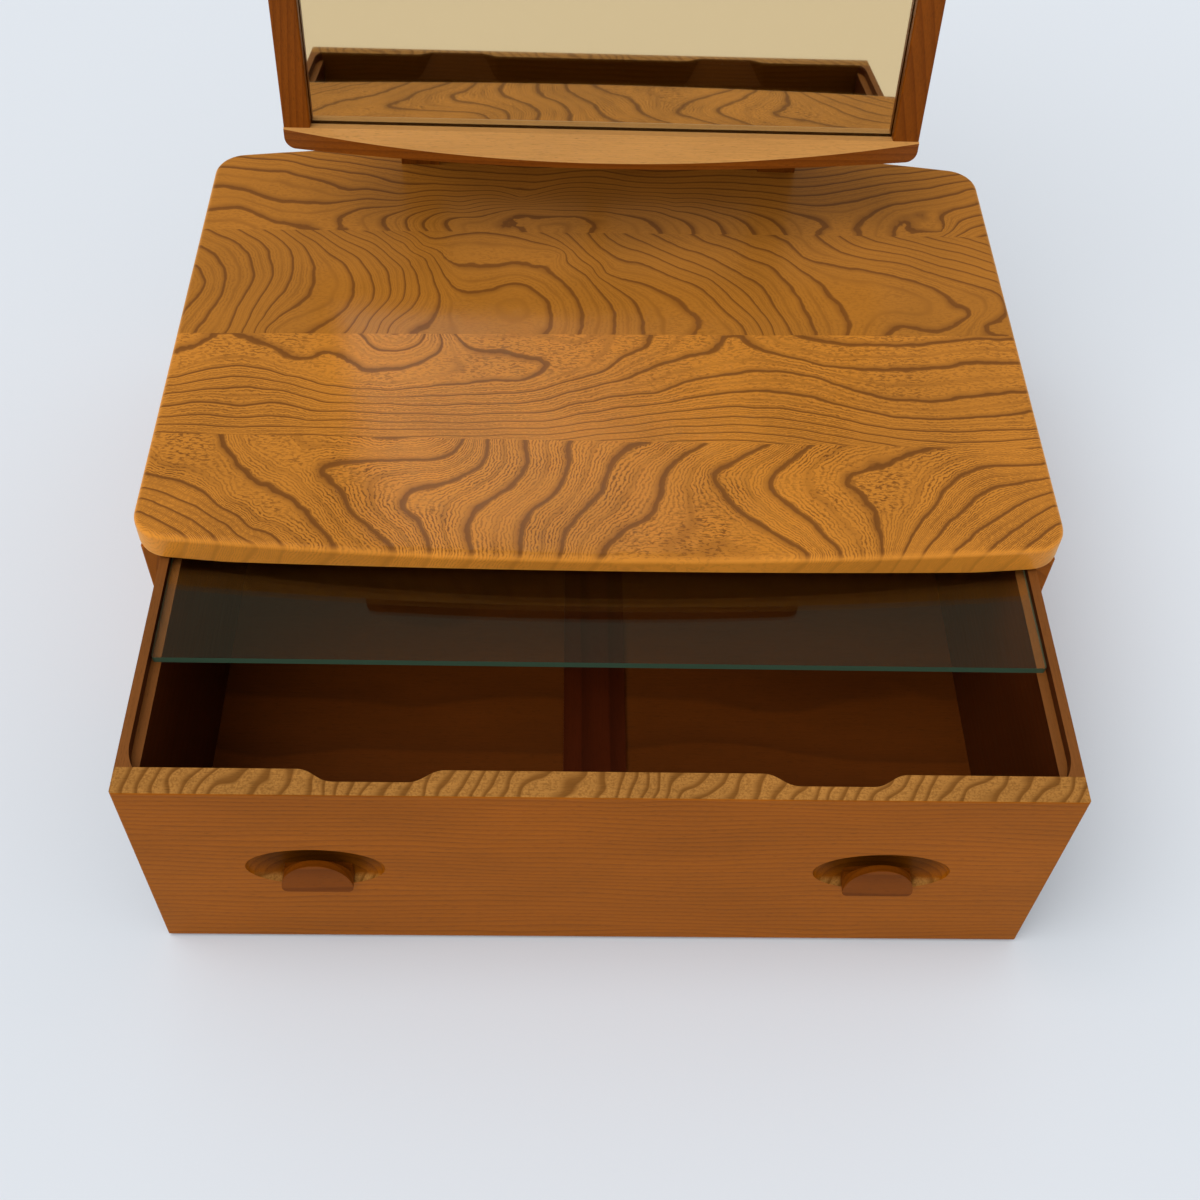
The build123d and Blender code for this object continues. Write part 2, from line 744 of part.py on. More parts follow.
def main():
    os.makedirs("parts", exist_ok=True)

    # Stand, cut to take its rails, bolts and screws
    post_screws = stand_screws()
    rails = {"stand_cross_rail": cross_rail(), "stand_low_rail": low_rail()}
    right_post = upright() - post_screws[1]
    for rail in rails.values():
        right_post = right_post - rail
    post = spindle()
    rails["stand_cross_rail"] = rails["stand_cross_rail"] - post
    post = post - rails["stand_low_rail"]

    # Top board with its mortises, screw holes and dowel holes, then parted into planks
    dowel_x = case_width / 2 - side_thickness / 2
    right_dowels = dowels(dowel_x)
    left_dowels = dowels(-dowel_x)
    board = top_board()
    for cut in right_dowels + left_dowels + post_screws:
        board = board - cut
    board = board - upright_stub() - mirrored(upright_stub()) - spindle()
    names = ["top_plank_front", "top_plank_mid_front", "top_plank_mid_rear", "top_plank_rear"]
    for name, plank in zip(names, top_planks(board)):
        save(name, plank)

    # Case
    right_side = case_side()
    for dowel in right_dowels:
        right_side = right_side - dowel
    save("case_side_right", right_side)
    save("case_side_left", mirrored(right_side))
    save("case_bottom", case_bottom())
    save("case_back", case_back())
    save("runner_right", runner())
    save("runner_left", mirrored(runner()))
    save("drawer_stops", Compound(children=[drawer_stop(), mirrored(drawer_stop())]))
    save("top_dowels_right", Compound(children=right_dowels))
    save("top_dowels_left", Compound(children=left_dowels))

    # Stand
    save("upright_right", right_post)
    save("upright_left", mirrored(right_post))
    save("stand_spindle", post)
    for name, rail in rails.items():
        save(name, rail)
    save("stand_screws", Compound(children=post_screws))

    # Drawer
    front = drawer_front()
    save("drawer_front", front)
    save("drawer_side_right", drawer_side())
    save("drawer_side_left", mirrored(drawer_side()))
    save("drawer_back", drawer_back())
    save("drawer_bottom_right", drawer_panel())
    save("drawer_bottom_left", mirrored(drawer_panel()))
    save("drawer_muntin", drawer_muntin())
    save("pull_right", pull(recess_centre, front))
    save("pull_left", pull(-recess_centre, front))
    save("glass_tray", glass_tray())

    # Mirror
    frame_screws = batten_screws()
    pins = backboard_pins()
    right_stile = stile()
    left_stile = mirrored(right_stile)
    bar = batten()
    for cut in frame_screws:
        bar = bar - cut
        right_stile = right_stile - cut
        left_stile = left_stile - cut
    for cut in pins:
        right_stile = right_stile - cut
        left_stile = left_stile - cut
    block = pivot_block()
    pieces = {
        "mirror_stile_right": right_stile,
        "mirror_stile_left": left_stile,
        "mirror_rail_bottom": bottom_rail(),
        "mirror_rail_top": top_rail(),
        "mirror_glass": mirror_glass(),
        "mirror_backboard": backboard(),
        "backboard_pins": Compound(children=pins),
        "mirror_batten": bar,
        "batten_screws": Compound(children=frame_screws),
        "pivot_block_right": block,
        "pivot_block_left": mirrored(block),
    }
    for name, piece in pieces.items():
        save(name, mirror_place * piece)

    # Pivots
    at_pivot = Pos(0, upright_y, pivot_z)
    for name, piece in (("pivot_bolt", pivot_bolt()), ("friction_washer", friction_washer()),
                        ("knob_washer", knob_washer()), ("clamp_knob", clamp_knob())):
        save(name + "_right", at_pivot * piece)
        save(name + "_left", at_pivot * mirrored(piece))


main()
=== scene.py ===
"""A dressing mirror in waxed elm on a one-drawer case: its finishes, its light and its camera."""
import json
import math

import bmesh
import bpy
import numpy as np
from mathutils import Matrix, Vector

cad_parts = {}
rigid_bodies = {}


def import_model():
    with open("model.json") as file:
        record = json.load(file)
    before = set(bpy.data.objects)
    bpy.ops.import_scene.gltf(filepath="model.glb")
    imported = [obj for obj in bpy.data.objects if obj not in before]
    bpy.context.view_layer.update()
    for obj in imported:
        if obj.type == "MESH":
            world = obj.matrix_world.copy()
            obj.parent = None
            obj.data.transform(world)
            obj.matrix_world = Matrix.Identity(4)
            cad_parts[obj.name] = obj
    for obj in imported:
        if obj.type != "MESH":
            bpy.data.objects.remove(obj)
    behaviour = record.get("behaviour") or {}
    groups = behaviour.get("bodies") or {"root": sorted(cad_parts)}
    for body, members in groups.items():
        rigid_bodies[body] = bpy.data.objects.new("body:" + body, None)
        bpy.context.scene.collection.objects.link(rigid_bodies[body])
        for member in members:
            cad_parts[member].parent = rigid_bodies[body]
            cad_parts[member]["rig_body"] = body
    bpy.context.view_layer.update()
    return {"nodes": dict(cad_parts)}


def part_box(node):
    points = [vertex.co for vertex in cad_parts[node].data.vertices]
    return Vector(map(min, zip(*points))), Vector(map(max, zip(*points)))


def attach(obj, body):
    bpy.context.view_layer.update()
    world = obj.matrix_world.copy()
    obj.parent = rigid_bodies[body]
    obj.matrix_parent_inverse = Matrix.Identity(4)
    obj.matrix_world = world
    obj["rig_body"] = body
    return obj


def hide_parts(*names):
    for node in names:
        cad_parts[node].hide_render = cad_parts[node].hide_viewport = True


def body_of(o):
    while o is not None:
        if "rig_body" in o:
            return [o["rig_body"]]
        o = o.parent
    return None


bl_info = {
    "name": "Dressing Mirror with Drawer",
    "version": (1, 0, 0),
    "blender": (4, 5, 0),
    "location": "3D View > Sidebar > Dressing Mirror",
    "description": "Finishes the pieces of an elm dressing mirror and sets up its studio",
    "category": "Object",
}

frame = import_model()
NODES = frame["nodes"]

MM = 0.001
GLASS_IOR = 1.52
MERGE = 1e-6  # points of a mesh nearer than this are one, in metres
SHARP = math.radians(35)  # the least angle at which an edge of a board isn't smoothed
RING_LEAN = 0.02  # how many rings the wood of a top board leans over in a millimetre of depth


def linear(colour):
    """Turns an sRGB hex colour such as "C4843E" to linear red, green and blue."""
    parts = [int(colour[place:place + 2], 16) / 255 for place in (0, 2, 4)]
    return tuple(
        part / 12.92 if part <= 0.04045 else ((part + 0.055) / 1.055) ** 2.4 for part in parts
    )


def length_setting(name, description, default, **limits):
    """A setting that holds a length, in metres."""
    return bpy.props.FloatProperty(
        name=name, description=description, default=default, unit="LENGTH", **limits)


def colour_setting(name, description, default):
    """A setting that holds a colour, from its hex."""
    return bpy.props.FloatVectorProperty(
        name=name, description=description, default=linear(default), size=3, subtype="COLOR")


# The growth lines of the four top boards, as a maker would pencil them on the wood before
# choosing how to lay the boards up. A line is its ring's number and points on the board in
# millimetres, x to the right and y to the back. The field between the lines is a smooth sheet
# through all of them, so the number of a ring rises and falls as the wood's rings do. A part of
# a ring, with one point or two, says how far the sheet has risen between the lines.
REAR_LINES = (
    (-2, (-170, 207), (-100, 196), (0, 197), (100, 196), (150, 195), (205, 207)),
    (-1, (-245, 210), (-186, 199), (-124, 187), (0, 190), (100, 187), (150, 185), (200, 193),
     (255, 206)),
    (0, (-248, 203), (-201, 193), (-155, 183), (-93, 175), (0, 182), (100, 178), (200, 182),
     (300, 206)),
    (1, (-276, 196), (-232, 187), (-186, 178), (-136, 168), (-62, 164), (0, 173), (100, 169),
     (150, 163), (200, 171), (300, 197)),
    (2, (-300, 184), (-248, 179), (-217, 168), (-198, 158), (-150, 155), (-50, 157), (0, 166),
     (100, 160), (170, 151), (205, 158), (240, 171), (300, 187)),
    (3, (-304, 159), (-279, 155), (-263, 146), (-239, 141), (-208, 141), (-155, 146), (-62, 149),
     (30, 158), (90, 155), (140, 146), (170, 135), (178, 125), (170, 111)),
    (3, (300, 176), (248, 157), (217, 142), (206, 131), (202, 113)),
    (4, (-300, 130), (-279, 133), (-268, 127), (-251, 117), (-229, 112), (-220, 106)),
    (4, (-150, 142), (-186, 135), (-200, 126), (-203, 118), (-195, 106)),
    (4, (60, 150), (110, 143), (138, 129), (146, 112)),
    (4, (300, 156), (257, 142), (239, 134), (234, 125), (245, 121), (270, 122)),
    (5, (-110, 140), (-152, 134), (-167, 125), (-169, 118), (-161, 106)),
    (5, (70, 146), (108, 133), (121, 112)),
    (5, (300, 142), (282, 130), (273, 119), (262, 112)),
    (6, (-93, 141), (-136, 134), (-150, 124), (-150, 116), (-146, 107)),
    (6, (50, 144), (86, 132), (98, 113)),
    (7, (-62, 142), (-118, 133), (-136, 122), (-138, 116), (-132, 107)),
    (7, (30, 141), (62, 130), (74, 113)),
    (8, (-47, 139), (-74, 136), (-105, 127), (-119, 117), (-115, 108)),
    (8, (5, 137), (32, 130), (47, 113)),
    (9, (-16, 130), (-47, 127), (-62, 123), (-65, 116), (-58, 110)),
    (9, (-8, 126), (-2, 118), (-8, 111)),
    (8.5, (-92, 121)),
    (8.6, (22, 119)),
    (9.5, (-48, 118)),
)
MID_REAR_LINES = (
    (-1, (-300, 58), (-294, 42), (-300, 22)),
    (0, (-300, 82), (-286, 66), (-280, 44), (-285, 15), (-292, -8)),
    (1, (-300, 104), (-279, 92), (-267, 77), (-260, 58), (-259, 46), (-264, 27), (-267, 11),
     (-270, -8)),
    (2, (-270, 100), (-257, 89), (-250, 73), (-246, 58), (-248, 39), (-254, 20), (-259, -8)),
    (3, (-250, 100), (-237, 86), (-232, 70), (-231, 52), (-234, 38), (-241, 22), (-247, 5),
     (-250, -8)),
    (4, (-240, 102), (-228, 90), (-219, 73), (-215, 55), (-215, 39), (-221, 24), (-232, 11),
     (-243, -6)),
    (5, (-232, 104), (-211, 86), (-195, 70), (-186, 52), (-184, 30), (-189, 15), (-198, 5),
     (-211, -9)),
    (6, (-218, 105), (-192, 82), (-177, 64), (-170, 46), (-169, 27), (-177, 11), (-184, -6)),
    (7, (-202, 101), (-180, 86), (-164, 67), (-158, 49), (-157, 30), (-165, 15), (-172, -6)),
    (8, (-183, 98), (-164, 83), (-149, 64), (-146, 46), (-147, 27), (-156, 11), (-162, -5)),
    (9, (-188, 110), (-158, 86), (-143, 67), (-137, 50), (-135, 33), (-141, 18), (-152, 4),
     (-155, -5)),
    (10, (-170, 111), (-149, 93), (-133, 77), (-126, 58), (-121, 39), (-120, 21), (-124, 5),
     (-134, -5)),
    (10.6, (-108, 12), (-95, 4), (-75, 8)),
    (11, (-118, 58), (-110, 44), (-96, 38), (-81, 42), (-62, 49), (-50, 42), (-40, 30), (-36, 16),
     (-39, -3)),
    (10.4, (-70, 26), (-62, 16)),
    (12, (-161, 114), (-136, 92), (-118, 77), (-99, 69), (-81, 69), (-62, 72), (-47, 70), (-34, 58),
     (-25, 46), (-17, 30), (-14, 15), (-15, -3)),
    (12.5, (-110, 96), (-60, 93), (-30, 86)),
    (13, (-90, 108), (-47, 97), (-25, 77), (-9, 58), (0, 42), (8, 27), (11, 11), (9, -2)),
    (14, (-50, 112), (-25, 93), (-6, 70), (6, 52), (20, 38), (29, 21), (31, -2)),
    (15, (-30, 113), (-8, 84), (4, 64), (19, 56), (40, 47), (56, 35), (67, 21), (74, 10), (68, 0)),
    (16, (-10, 113), (4, 90), (28, 77), (50, 64), (71, 52), (84, 36), (96, 18), (107, -1)),
    (17, (2, 113), (15, 97), (43, 83), (62, 70), (84, 58), (99, 36), (112, 18), (119, 0)),
    (18, (18, 113), (40, 97), (68, 80), (90, 64), (108, 46), (119, 24), (127, 0)),
    (19, (38, 113), (62, 95), (90, 80), (108, 64), (124, 47), (130, 28), (140, 0)),
    (20, (70, 113), (102, 94), (127, 77), (141, 58), (149, 39), (155, 18), (158, 0)),
    (21, (95, 112), (118, 98), (143, 84), (161, 64), (170, 46), (180, 27), (184, 11), (181, 0)),
    (22, (135, 113), (155, 88), (198, 74), (236, 62), (258, 49), (266, 34), (276, 24), (264, 13),
     (223, 10), (214, 5), (211, 0)),
    (21.3, (215, 45), (235, 30)),
    (23, (170, 113), (198, 89), (236, 80), (270, 64), (300, 50)),
    (23, (300, 22), (286, 13), (300, 3)),
    (24, (198, 103), (236, 92), (270, 77), (300, 64)),
    (25, (217, 107), (263, 90), (300, 75)),
    (26, (240, 110), (279, 96), (300, 86)),
    (27, (262, 112), (300, 96)),
)
MID_FRONT_LINES = (
    (-1, (-150, -8)),
    (0, (-172, -12), (-162, -24), (-145, -26), (-130, -16), (-128, -8)),
    (1, (-262, -12), (-248, -18), (-233, -26), (-218, -36), (-195, -29), (-178, -38), (-150, -44),
     (-125, -34), (-115, -15)),
    (1, (-300, -28), (-285, -20), (-278, -12)),
    (2, (-108, -5), (-96, -21), (-74, -26), (-53, -31), (-40, -40), (-47, -49), (-60, -55),
     (-96, -59), (-124, -63), (-149, -67), (-174, -66), (-198, -62), (-223, -54), (-248, -46),
     (-270, -47), (-300, -58)),
    (2.6, (-20, -10)),
    (2.4, (-36, -12), (-20, -18), (-5, -11)),
    (3, (36, -5), (33, -18), (20, -25), (11, -34), (-2, -46), (-22, -54), (-42, -63), (-70, -68),
     (-124, -72), (-174, -73), (-223, -61), (-260, -56), (-300, -66)),
    (3, (149, -4), (164, -8), (192, -11), (232, -10), (262, -4)),
    (4, (90, -5), (84, -18), (62, -27), (40, -36), (25, -46), (0, -57), (-25, -66), (-47, -75),
     (-68, -78), (-96, -79), (-149, -80), (-174, -80), (-202, -76), (-223, -69), (-248, -66),
     (-279, -69), (-300, -73)),
    (4, (102, -5), (121, -20), (139, -26), (161, -34), (186, -36), (217, -36), (242, -34),
     (267, -28), (300, -27)),
    (5, (300, -57), (267, -62), (226, -68), (198, -65), (177, -57), (155, -46), (133, -41),
     (116, -40), (99, -43), (77, -48), (56, -55), (37, -65), (15, -68), (-6, -74), (-31, -83),
     (-50, -87), (-93, -90), (-149, -90), (-202, -88), (-250, -85), (-300, -86)),
    (6, (300, -77), (267, -83), (236, -86), (211, -85), (186, -79), (161, -71), (136, -63),
     (112, -61), (87, -63), (62, -69), (37, -76), (12, -80), (-12, -86), (-37, -94), (-108, -98),
     (-202, -98), (-300, -97)),
    (7, (300, -95), (248, -98), (202, -96), (171, -88), (140, -81), (109, -78), (78, -79),
     (47, -84), (16, -90), (-15, -96), (-60, -102), (-108, -104), (-202, -104), (-300, -104)),
    (8, (300, -103), (186, -102), (155, -94), (124, -88), (93, -87), (62, -90), (31, -95),
     (0, -101), (-60, -108), (-108, -110), (-300, -111)),
    (9, (300, -112), (186, -109), (140, -99), (93, -95), (47, -98), (0, -106)),
    (10, (186, -116), (140, -107), (93, -102), (47, -105)),
)
FRONT_LINES = (
    (-1, (-300, -172), (-279, -183), (-263, -193), (-250, -205)),
    (0, (-300, -163), (-279, -172), (-263, -181), (-245, -193), (-223, -209)),
    (1, (-302, -150), (-272, -160), (-250, -179), (-229, -196), (-206, -210)),
    (2, (-259, -114), (-254, -125), (-247, -137), (-237, -148), (-217, -161), (-203, -173),
     (-191, -187), (-181, -198), (-172, -212)),
    (2.5, (-246, -116), (-200, -122), (-150, -126), (-122, -123), (-106, -114)),
    (2.7, (-235, -120), (-215, -135)),
    (3, (-95, -113), (-99, -123), (-108, -130), (-124, -133), (-149, -134), (-177, -137),
     (-188, -145), (-180, -156), (-170, -170), (-163, -184), (-149, -197), (-136, -211)),
    (4, (-79, -113), (-79, -130), (-87, -142), (-99, -151), (-118, -158), (-132, -168),
     (-127, -182), (-116, -198), (-112, -212)),
    (5, (-53, -113), (-51, -133), (-54, -145), (-65, -159), (-81, -173), (-88, -186), (-88, -201),
     (-85, -213)),
    (6, (-22, -113), (-23, -133), (-26, -148), (-34, -164), (-48, -179), (-53, -195), (-53, -213)),
    (7, (31, -113), (15, -120), (9, -131), (3, -145), (-3, -164), (-15, -179), (-23, -193),
     (-28, -212)),
    (8, (70, -114), (50, -130), (43, -142), (39, -158), (34, -173), (26, -184), (15, -192),
     (6, -201), (0, -212)),
    (9, (115, -113), (99, -123), (85, -133), (76, -142), (79, -155), (85, -167), (99, -182),
     (118, -198), (133, -213)),
    (8.5, (50, -200), (80, -206)),
    (10, (144, -113), (130, -127), (116, -142), (113, -151), (122, -167), (136, -182), (147, -198),
     (155, -213)),
    (10.6, (152, -162), (161, -175), (169, -189), (172, -207)),
    (11, (229, -113), (214, -119), (195, -128), (174, -137), (167, -145), (172, -158), (180, -173),
     (182, -189), (182, -213)),
    (12, (300, -128), (267, -130), (245, -139), (229, -155), (221, -170), (209, -185), (200, -201),
     (194, -213)),
    (13, (300, -141), (263, -151), (246, -165), (229, -182), (215, -200), (207, -213)),
    (14, (300, -155), (276, -168), (257, -182), (239, -198), (226, -213)),
    (15, (300, -167), (282, -180), (267, -192), (250, -208)),
    (16, (302, -182), (285, -196), (272, -208)),
)


class StageSettings(bpy.types.PropertyGroup):
    """Where the camera stands and how the studio is lit."""

    camera_place: bpy.props.FloatVectorProperty(
        name="Camera Place", description="Where the camera stands", size=3,
        default=(-0.0314, -0.8422, 0.9662), subtype="TRANSLATION", unit="LENGTH")
    camera_yaw: bpy.props.FloatProperty(
        name="Camera Yaw", description="How far the camera turns to the right",
        default=math.radians(2.8), subtype="ANGLE", unit="ROTATION")
    camera_pitch: bpy.props.FloatProperty(
        name="Camera Pitch", description="How far the camera looks down",
        default=math.radians(51.894), subtype="ANGLE", unit="ROTATION")
    camera_roll: bpy.props.FloatProperty(
        name="Camera Roll", description="How far the camera leans about its own line of sight",
        default=math.radians(2.993), subtype="ANGLE", unit="ROTATION")
    lens: bpy.props.FloatProperty(
        name="Lens", description="Focal length on a sensor 36 mm wide, in millimetres",
        default=45.65, min=10.0, max=200.0)
    floor_colour: colour_setting("Floor", "Colour of the floor and of the backdrop", "E1E7EE")
    reflected_floor: colour_setting(
        "Floor in Reflections", "Colour of the room's boarded floor, as mirrors show it", "E2C89E")
    reflected_room: colour_setting(
        "Room in Reflections", "Colour of the dim room above, as polish shows it", "8A7E66")
    fill: bpy.props.FloatProperty(
        name="Fill", description="Strength of the even light from all round", default=0.55, min=0.0)
    key: bpy.props.FloatProperty(
        name="Key", description="Strength of the soft lamp overhead", default=1.62, min=0.0)
    key_width: bpy.props.FloatProperty(
        name="Key Width", description="Angle that the lamp fills, which softens its shadows",
        default=math.radians(55), subtype="ANGLE", unit="ROTATION")
    key_direction: bpy.props.FloatVectorProperty(
        name="Key Direction", description="Which way the lamp's light travels", size=3,
        default=(0.38, 0.26, -1.0), subtype="XYZ")
    floor_width: length_setting("Floor Width", "Width of the floor", 14.0)


class FinishSettings(bpy.types.PropertyGroup):
    """The colours of the woods, the glass and the metals."""

    elm_gold: colour_setting("Elm Gold", "Early wood of the waxed elm top", "CB822C")
    elm_line: colour_setting("Elm Growth Line", "Late wood in the elm, at a growth line", "7A4818")
    elm_orange: colour_setting(
        "Elm Orange", "Straight-grained elm of the drawer front and the case sides", "A65A08")
    elm_brown: colour_setting("Elm Brown", "Late wood of the straight-grained elm", "844406")
    frame_orange: colour_setting(
        "Frame Orange", "Elm of the stand, the mirror's frame and the knobs", "8A480A")
    frame_brown: colour_setting("Frame Brown", "Late wood of the same elm", "6A3204")
    drawer_brown: colour_setting("Drawer Brown", "Stained timber inside the drawer", "50230A")
    glass_tint: colour_setting(
        "Glass Tint", "What is left of white light after a long way in float glass", "9FC9AE")


class GrainSettings(bpy.types.PropertyGroup):
    """The sizes of the grain."""

    figure_grid: length_setting(
        "Figure Grid", "Spacing of the points that carry the boards' figure", 4 * MM, min=1 * MM)
    fibre_width: length_setting("Fibre Width", "Width of a bundle of fibres", 0.7 * MM)
    fibre_length: length_setting("Fibre Length", "Length of a bundle of fibres", 35 * MM)
    pore_width: length_setting(
        "Pore Width", "Width of an open pore, drawn wider than real so that it shows", 0.45 * MM)
    sway_length: length_setting("Sway Length", "Length over which straight grain sways", 200 * MM)
    sway_width: length_setting(
        "Sway Width", "Width over which straight grain sways together", 62.5 * MM)
    widest_line: length_setting(
        "Widest Line", "Width of the widest growth line on the top", 4.5 * MM, min=0.5 * MM)
    line_ripple: length_setting(
        "Line Ripple", "Size of the ripples along a growth line of the top", 14.286 * MM)
    zigzag: length_setting("Zigzag", "Size of the zigzags in the elm's fleck", 3.8462 * MM)
    dash: length_setting("Dash", "Length of the dashes that the fleck breaks into", 2.381 * MM)
    burr_width: length_setting("Burr Width", "Width of the short flecks of burr", 1.4286 * MM)
    patch: length_setting(
        "Patch", "Size of the patches in which the fleck is strong or faint", 38.46 * MM)
    cloud: length_setting("Cloud", "Size of the lighter and darker clouds in the top", 90.91 * MM)
    edge_sway: length_setting(
        "Edge Sway", "Size of the sways in the figure of the drawer's top edge", 58.82 * MM)
    edge_fleck: length_setting(
        "Edge Fleck", "Size of the flecks on the drawer's top edge", 1.25 * MM)


def add(tree, kind, values=(), output=None, stops=(), **settings):
    """Adds a node, with its settings and what feeds its sockets, and returns an output socket."""
    node = tree.nodes.new("ShaderNode" + kind)
    for name, value in settings.items():
        setattr(node, name, value)
    while stops and len(node.color_ramp.elements) < len(stops):
        node.color_ramp.elements.new(1.0)
    for element, (place, colour) in zip(node.color_ramp.elements if stops else (), stops):
        element.position = place
        element.color = (*colour, 1.0)
    pairs = values.items() if isinstance(values, dict) else enumerate(values)
    for key, value in pairs:
        socket = node.inputs[key] if isinstance(key, int) else next(
            each for each in node.inputs if each.enabled and each.name == key)
        if isinstance(value, bpy.types.NodeSocket):
            tree.links.new(value, socket)
        elif socket.type == "RGBA" and len(value) == 3:
            socket.default_value = (*value, 1.0)
        else:
            socket.default_value = value
    if output:
        return node.outputs[output]
    return next((each for each in node.outputs if each.enabled), None)


def new_material(name):
    """Starts a material, and returns it and its empty node tree."""
    material = bpy.data.materials.new(name)
    material.use_nodes = True
    material.node_tree.nodes.clear()
    return material, material.node_tree


def new_object(name, data):
    """Makes an object, and links it to the scene."""
    made = bpy.data.objects.new(name, data)
    bpy.context.scene.collection.objects.link(made)
    return made


def grey(value):
    """A grey of the given linear value."""
    return (value, value, value)


def fibres(tree, grain):
    """Fine streaks along the grain and short dark pores, from a vector in metres along its x."""
    sizes = bpy.context.scene.grain_settings
    streak = add(tree, "Mapping", {"Vector": grain, "Scale": (
        1 / sizes.fibre_length, 1 / sizes.fibre_width, 1 / sizes.fibre_width)})
    streaks = add(tree, "TexNoise", {"Vector": streak, "Scale": 1.0, "Detail": 3.0, "Roughness": 0.6})
    dash = add(tree, "Mapping", {"Vector": grain, "Scale": (
        1 / (12 * sizes.pore_width), 1 / sizes.pore_width, 1 / sizes.pore_width)})
    dashes = add(tree, "TexNoise", {"Vector": dash, "Scale": 1.0, "Detail": 1.0})
    pores = add(tree, "MapRange", {
        "Value": dashes, "From Min": 0.60, "From Max": 0.72, "To Min": 0.0, "To Max": 1.0})
    return streaks, pores


def waxed_surface(tree, colour, streaks, pores, depth, gloss, coat):
    """Closes a wood's tree: a waxed surface whose pores are a little open."""
    spread = 0.06
    hollow = add(tree, "Math", (pores, -0.6), operation="MULTIPLY")
    height = add(tree, "Math", (streaks, hollow), operation="ADD")
    bump = add(tree, "Bump", {"Height": height, "Strength": 0.35, "Distance": depth})
    rough = add(tree, "MapRange", {
        "Value": streaks, "From Min": 0.3, "From Max": 0.7,
        "To Min": gloss - spread, "To Max": gloss + spread})
    surface = add(tree, "BsdfPrincipled", {
        "Base Color": colour, "Roughness": rough, "Normal": bump, "IOR": 1.5,
        "Specular IOR Level": 0.1, "Coat Weight": coat, "Coat Roughness": 0.2, "Coat IOR": 1.45})
    add(tree, "OutputMaterial", {"Surface": surface})


# Grain that runs along x, y or z is turned to run along x before the pattern reads it.
GRAIN_TURNS = {"x": (0, 0, 0), "y": (0, 0, -math.pi / 2), "z": (0, math.pi / 2, 0)}


def straight_wood(name, along, early, late, ring, heart, wander=2.4 * MM, contrast=0.7,
                  coat=0.04, painted_top_light=None, edge=None, hollow=None):
    """Sawn and waxed wood, whose growth lines are cuts through long rings about a distant heart.

    The heart is where the tree's middle lies across the grain, and wander how far a ring strays.
    Faces that look up take the tone given for them, a painted light from above; an edge gives the
    tones of a figured top edge; and a hollow gives where the front face lies and how deep behind
    it the wood is painted darker, a painted shade in the pull recesses and on the inner face.
    """
    sizes = bpy.context.scene.grain_settings
    taper, tone, gloss = 0.02, 0.1, 0.38
    material, tree = new_material(name)
    place = add(tree, "TexCoord", output="Object")
    grain = add(tree, "Mapping", {"Vector": place, "Rotation": GRAIN_TURNS[along]})
    sway = add(tree, "Mapping", {"Vector": grain, "Scale": (
        1 / sizes.sway_length, 1 / sizes.sway_width, 1 / sizes.sway_width)})
    swaying = add(tree, "TexNoise", {"Vector": sway, "Scale": 1.0, "Detail": 2.0})
    section = add(tree, "Mapping", {"Vector": grain, "Location": (0, *heart), "Scale": (taper, 1, 1)})
    radius = add(tree, "VectorMath", (section,), output="Value", operation="LENGTH")
    turns = add(tree, "Math", (radius, 1 / ring), operation="MULTIPLY")
    drift = add(tree, "Math", (swaying, wander / ring), operation="MULTIPLY")
    phase = add(tree, "Math", (turns, drift), operation="ADD")
    share = add(tree, "Math", (phase,), operation="FRACT")
    line = add(tree, "ValToRGB", {"Fac": share}, stops=(
        (0.0, grey(0.10)), (0.45, grey(0.25)), (0.80, grey(0.75)), (0.92, grey(1.0)), (1.0, grey(0.10))))
    streaks, pores = fibres(tree, grain)
    line = add(tree, "Math", (line, contrast), operation="MULTIPLY")
    wood = add(tree, "Mix", {"Factor": line, "A": early, "B": late}, data_type="RGBA")
    cloud = add(tree, "TexNoise", {"Vector": sway, "Scale": 1.3, "Detail": 3.0})
    lift = add(tree, "MapRange", {
        "Value": cloud, "From Min": 0.3, "From Max": 0.7, "To Min": 1 - tone, "To Max": 1 + tone})
    shade = add(tree, "MapRange", {
        "Value": streaks, "From Min": 0.3, "From Max": 0.7, "To Min": 0.90, "To Max": 1.09})
    shade = add(tree, "Math", (shade, lift), operation="MULTIPLY")
    dark = add(tree, "MapRange", {"Value": pores, "To Min": 1.0, "To Max": 0.72})
    shade = add(tree, "Math", (shade, dark), operation="MULTIPLY")
    # Painted shade: behind the front face the wood is painted darker with depth, in the pull recesses
    # and on the front's inner face.
    if hollow:
        front, depth = hollow
        rim, darkest_painted_shade = 0.8 * MM, 0.38
        behind = add(tree, "SeparateXYZ", (place,), output="Y")
        darker = add(tree, "MapRange", {
            "Value": behind, "From Min": front + rim, "From Max": front + depth,
            "To Min": 1.0, "To Max": darkest_painted_shade})
        wood = add(tree, "VectorMath", {0: wood, "Scale": darker}, operation="SCALE")
    if painted_top_light or edge:
        normal = add(tree, "NewGeometry", output="Normal")
        upward = add(tree, "SeparateXYZ", (normal,), output="Z")
    # Painted light: faces that look up take the given paler tone, as if lit from above.
    if painted_top_light:
        limits = {"Value": upward, "From Min": 0.35, "From Max": 0.6}
        wood = add(tree, "Mix", {
            "Factor": add(tree, "MapRange", limits), "A": wood, "B": painted_top_light}, data_type="RGBA")
    if edge:
        wood = add(tree, "Mix", {
            "Factor": add(tree, "MapRange", {"Value": upward, "From Min": 0.6, "From Max": 0.8}),
            "A": wood, "B": edge_figure(tree, place, *edge)}, data_type="RGBA")
    wood = add(tree, "VectorMath", {0: wood, "Scale": shade}, operation="SCALE")
    waxed_surface(tree, wood, streaks, pores, 0.06 * MM, gloss, coat)
    return material


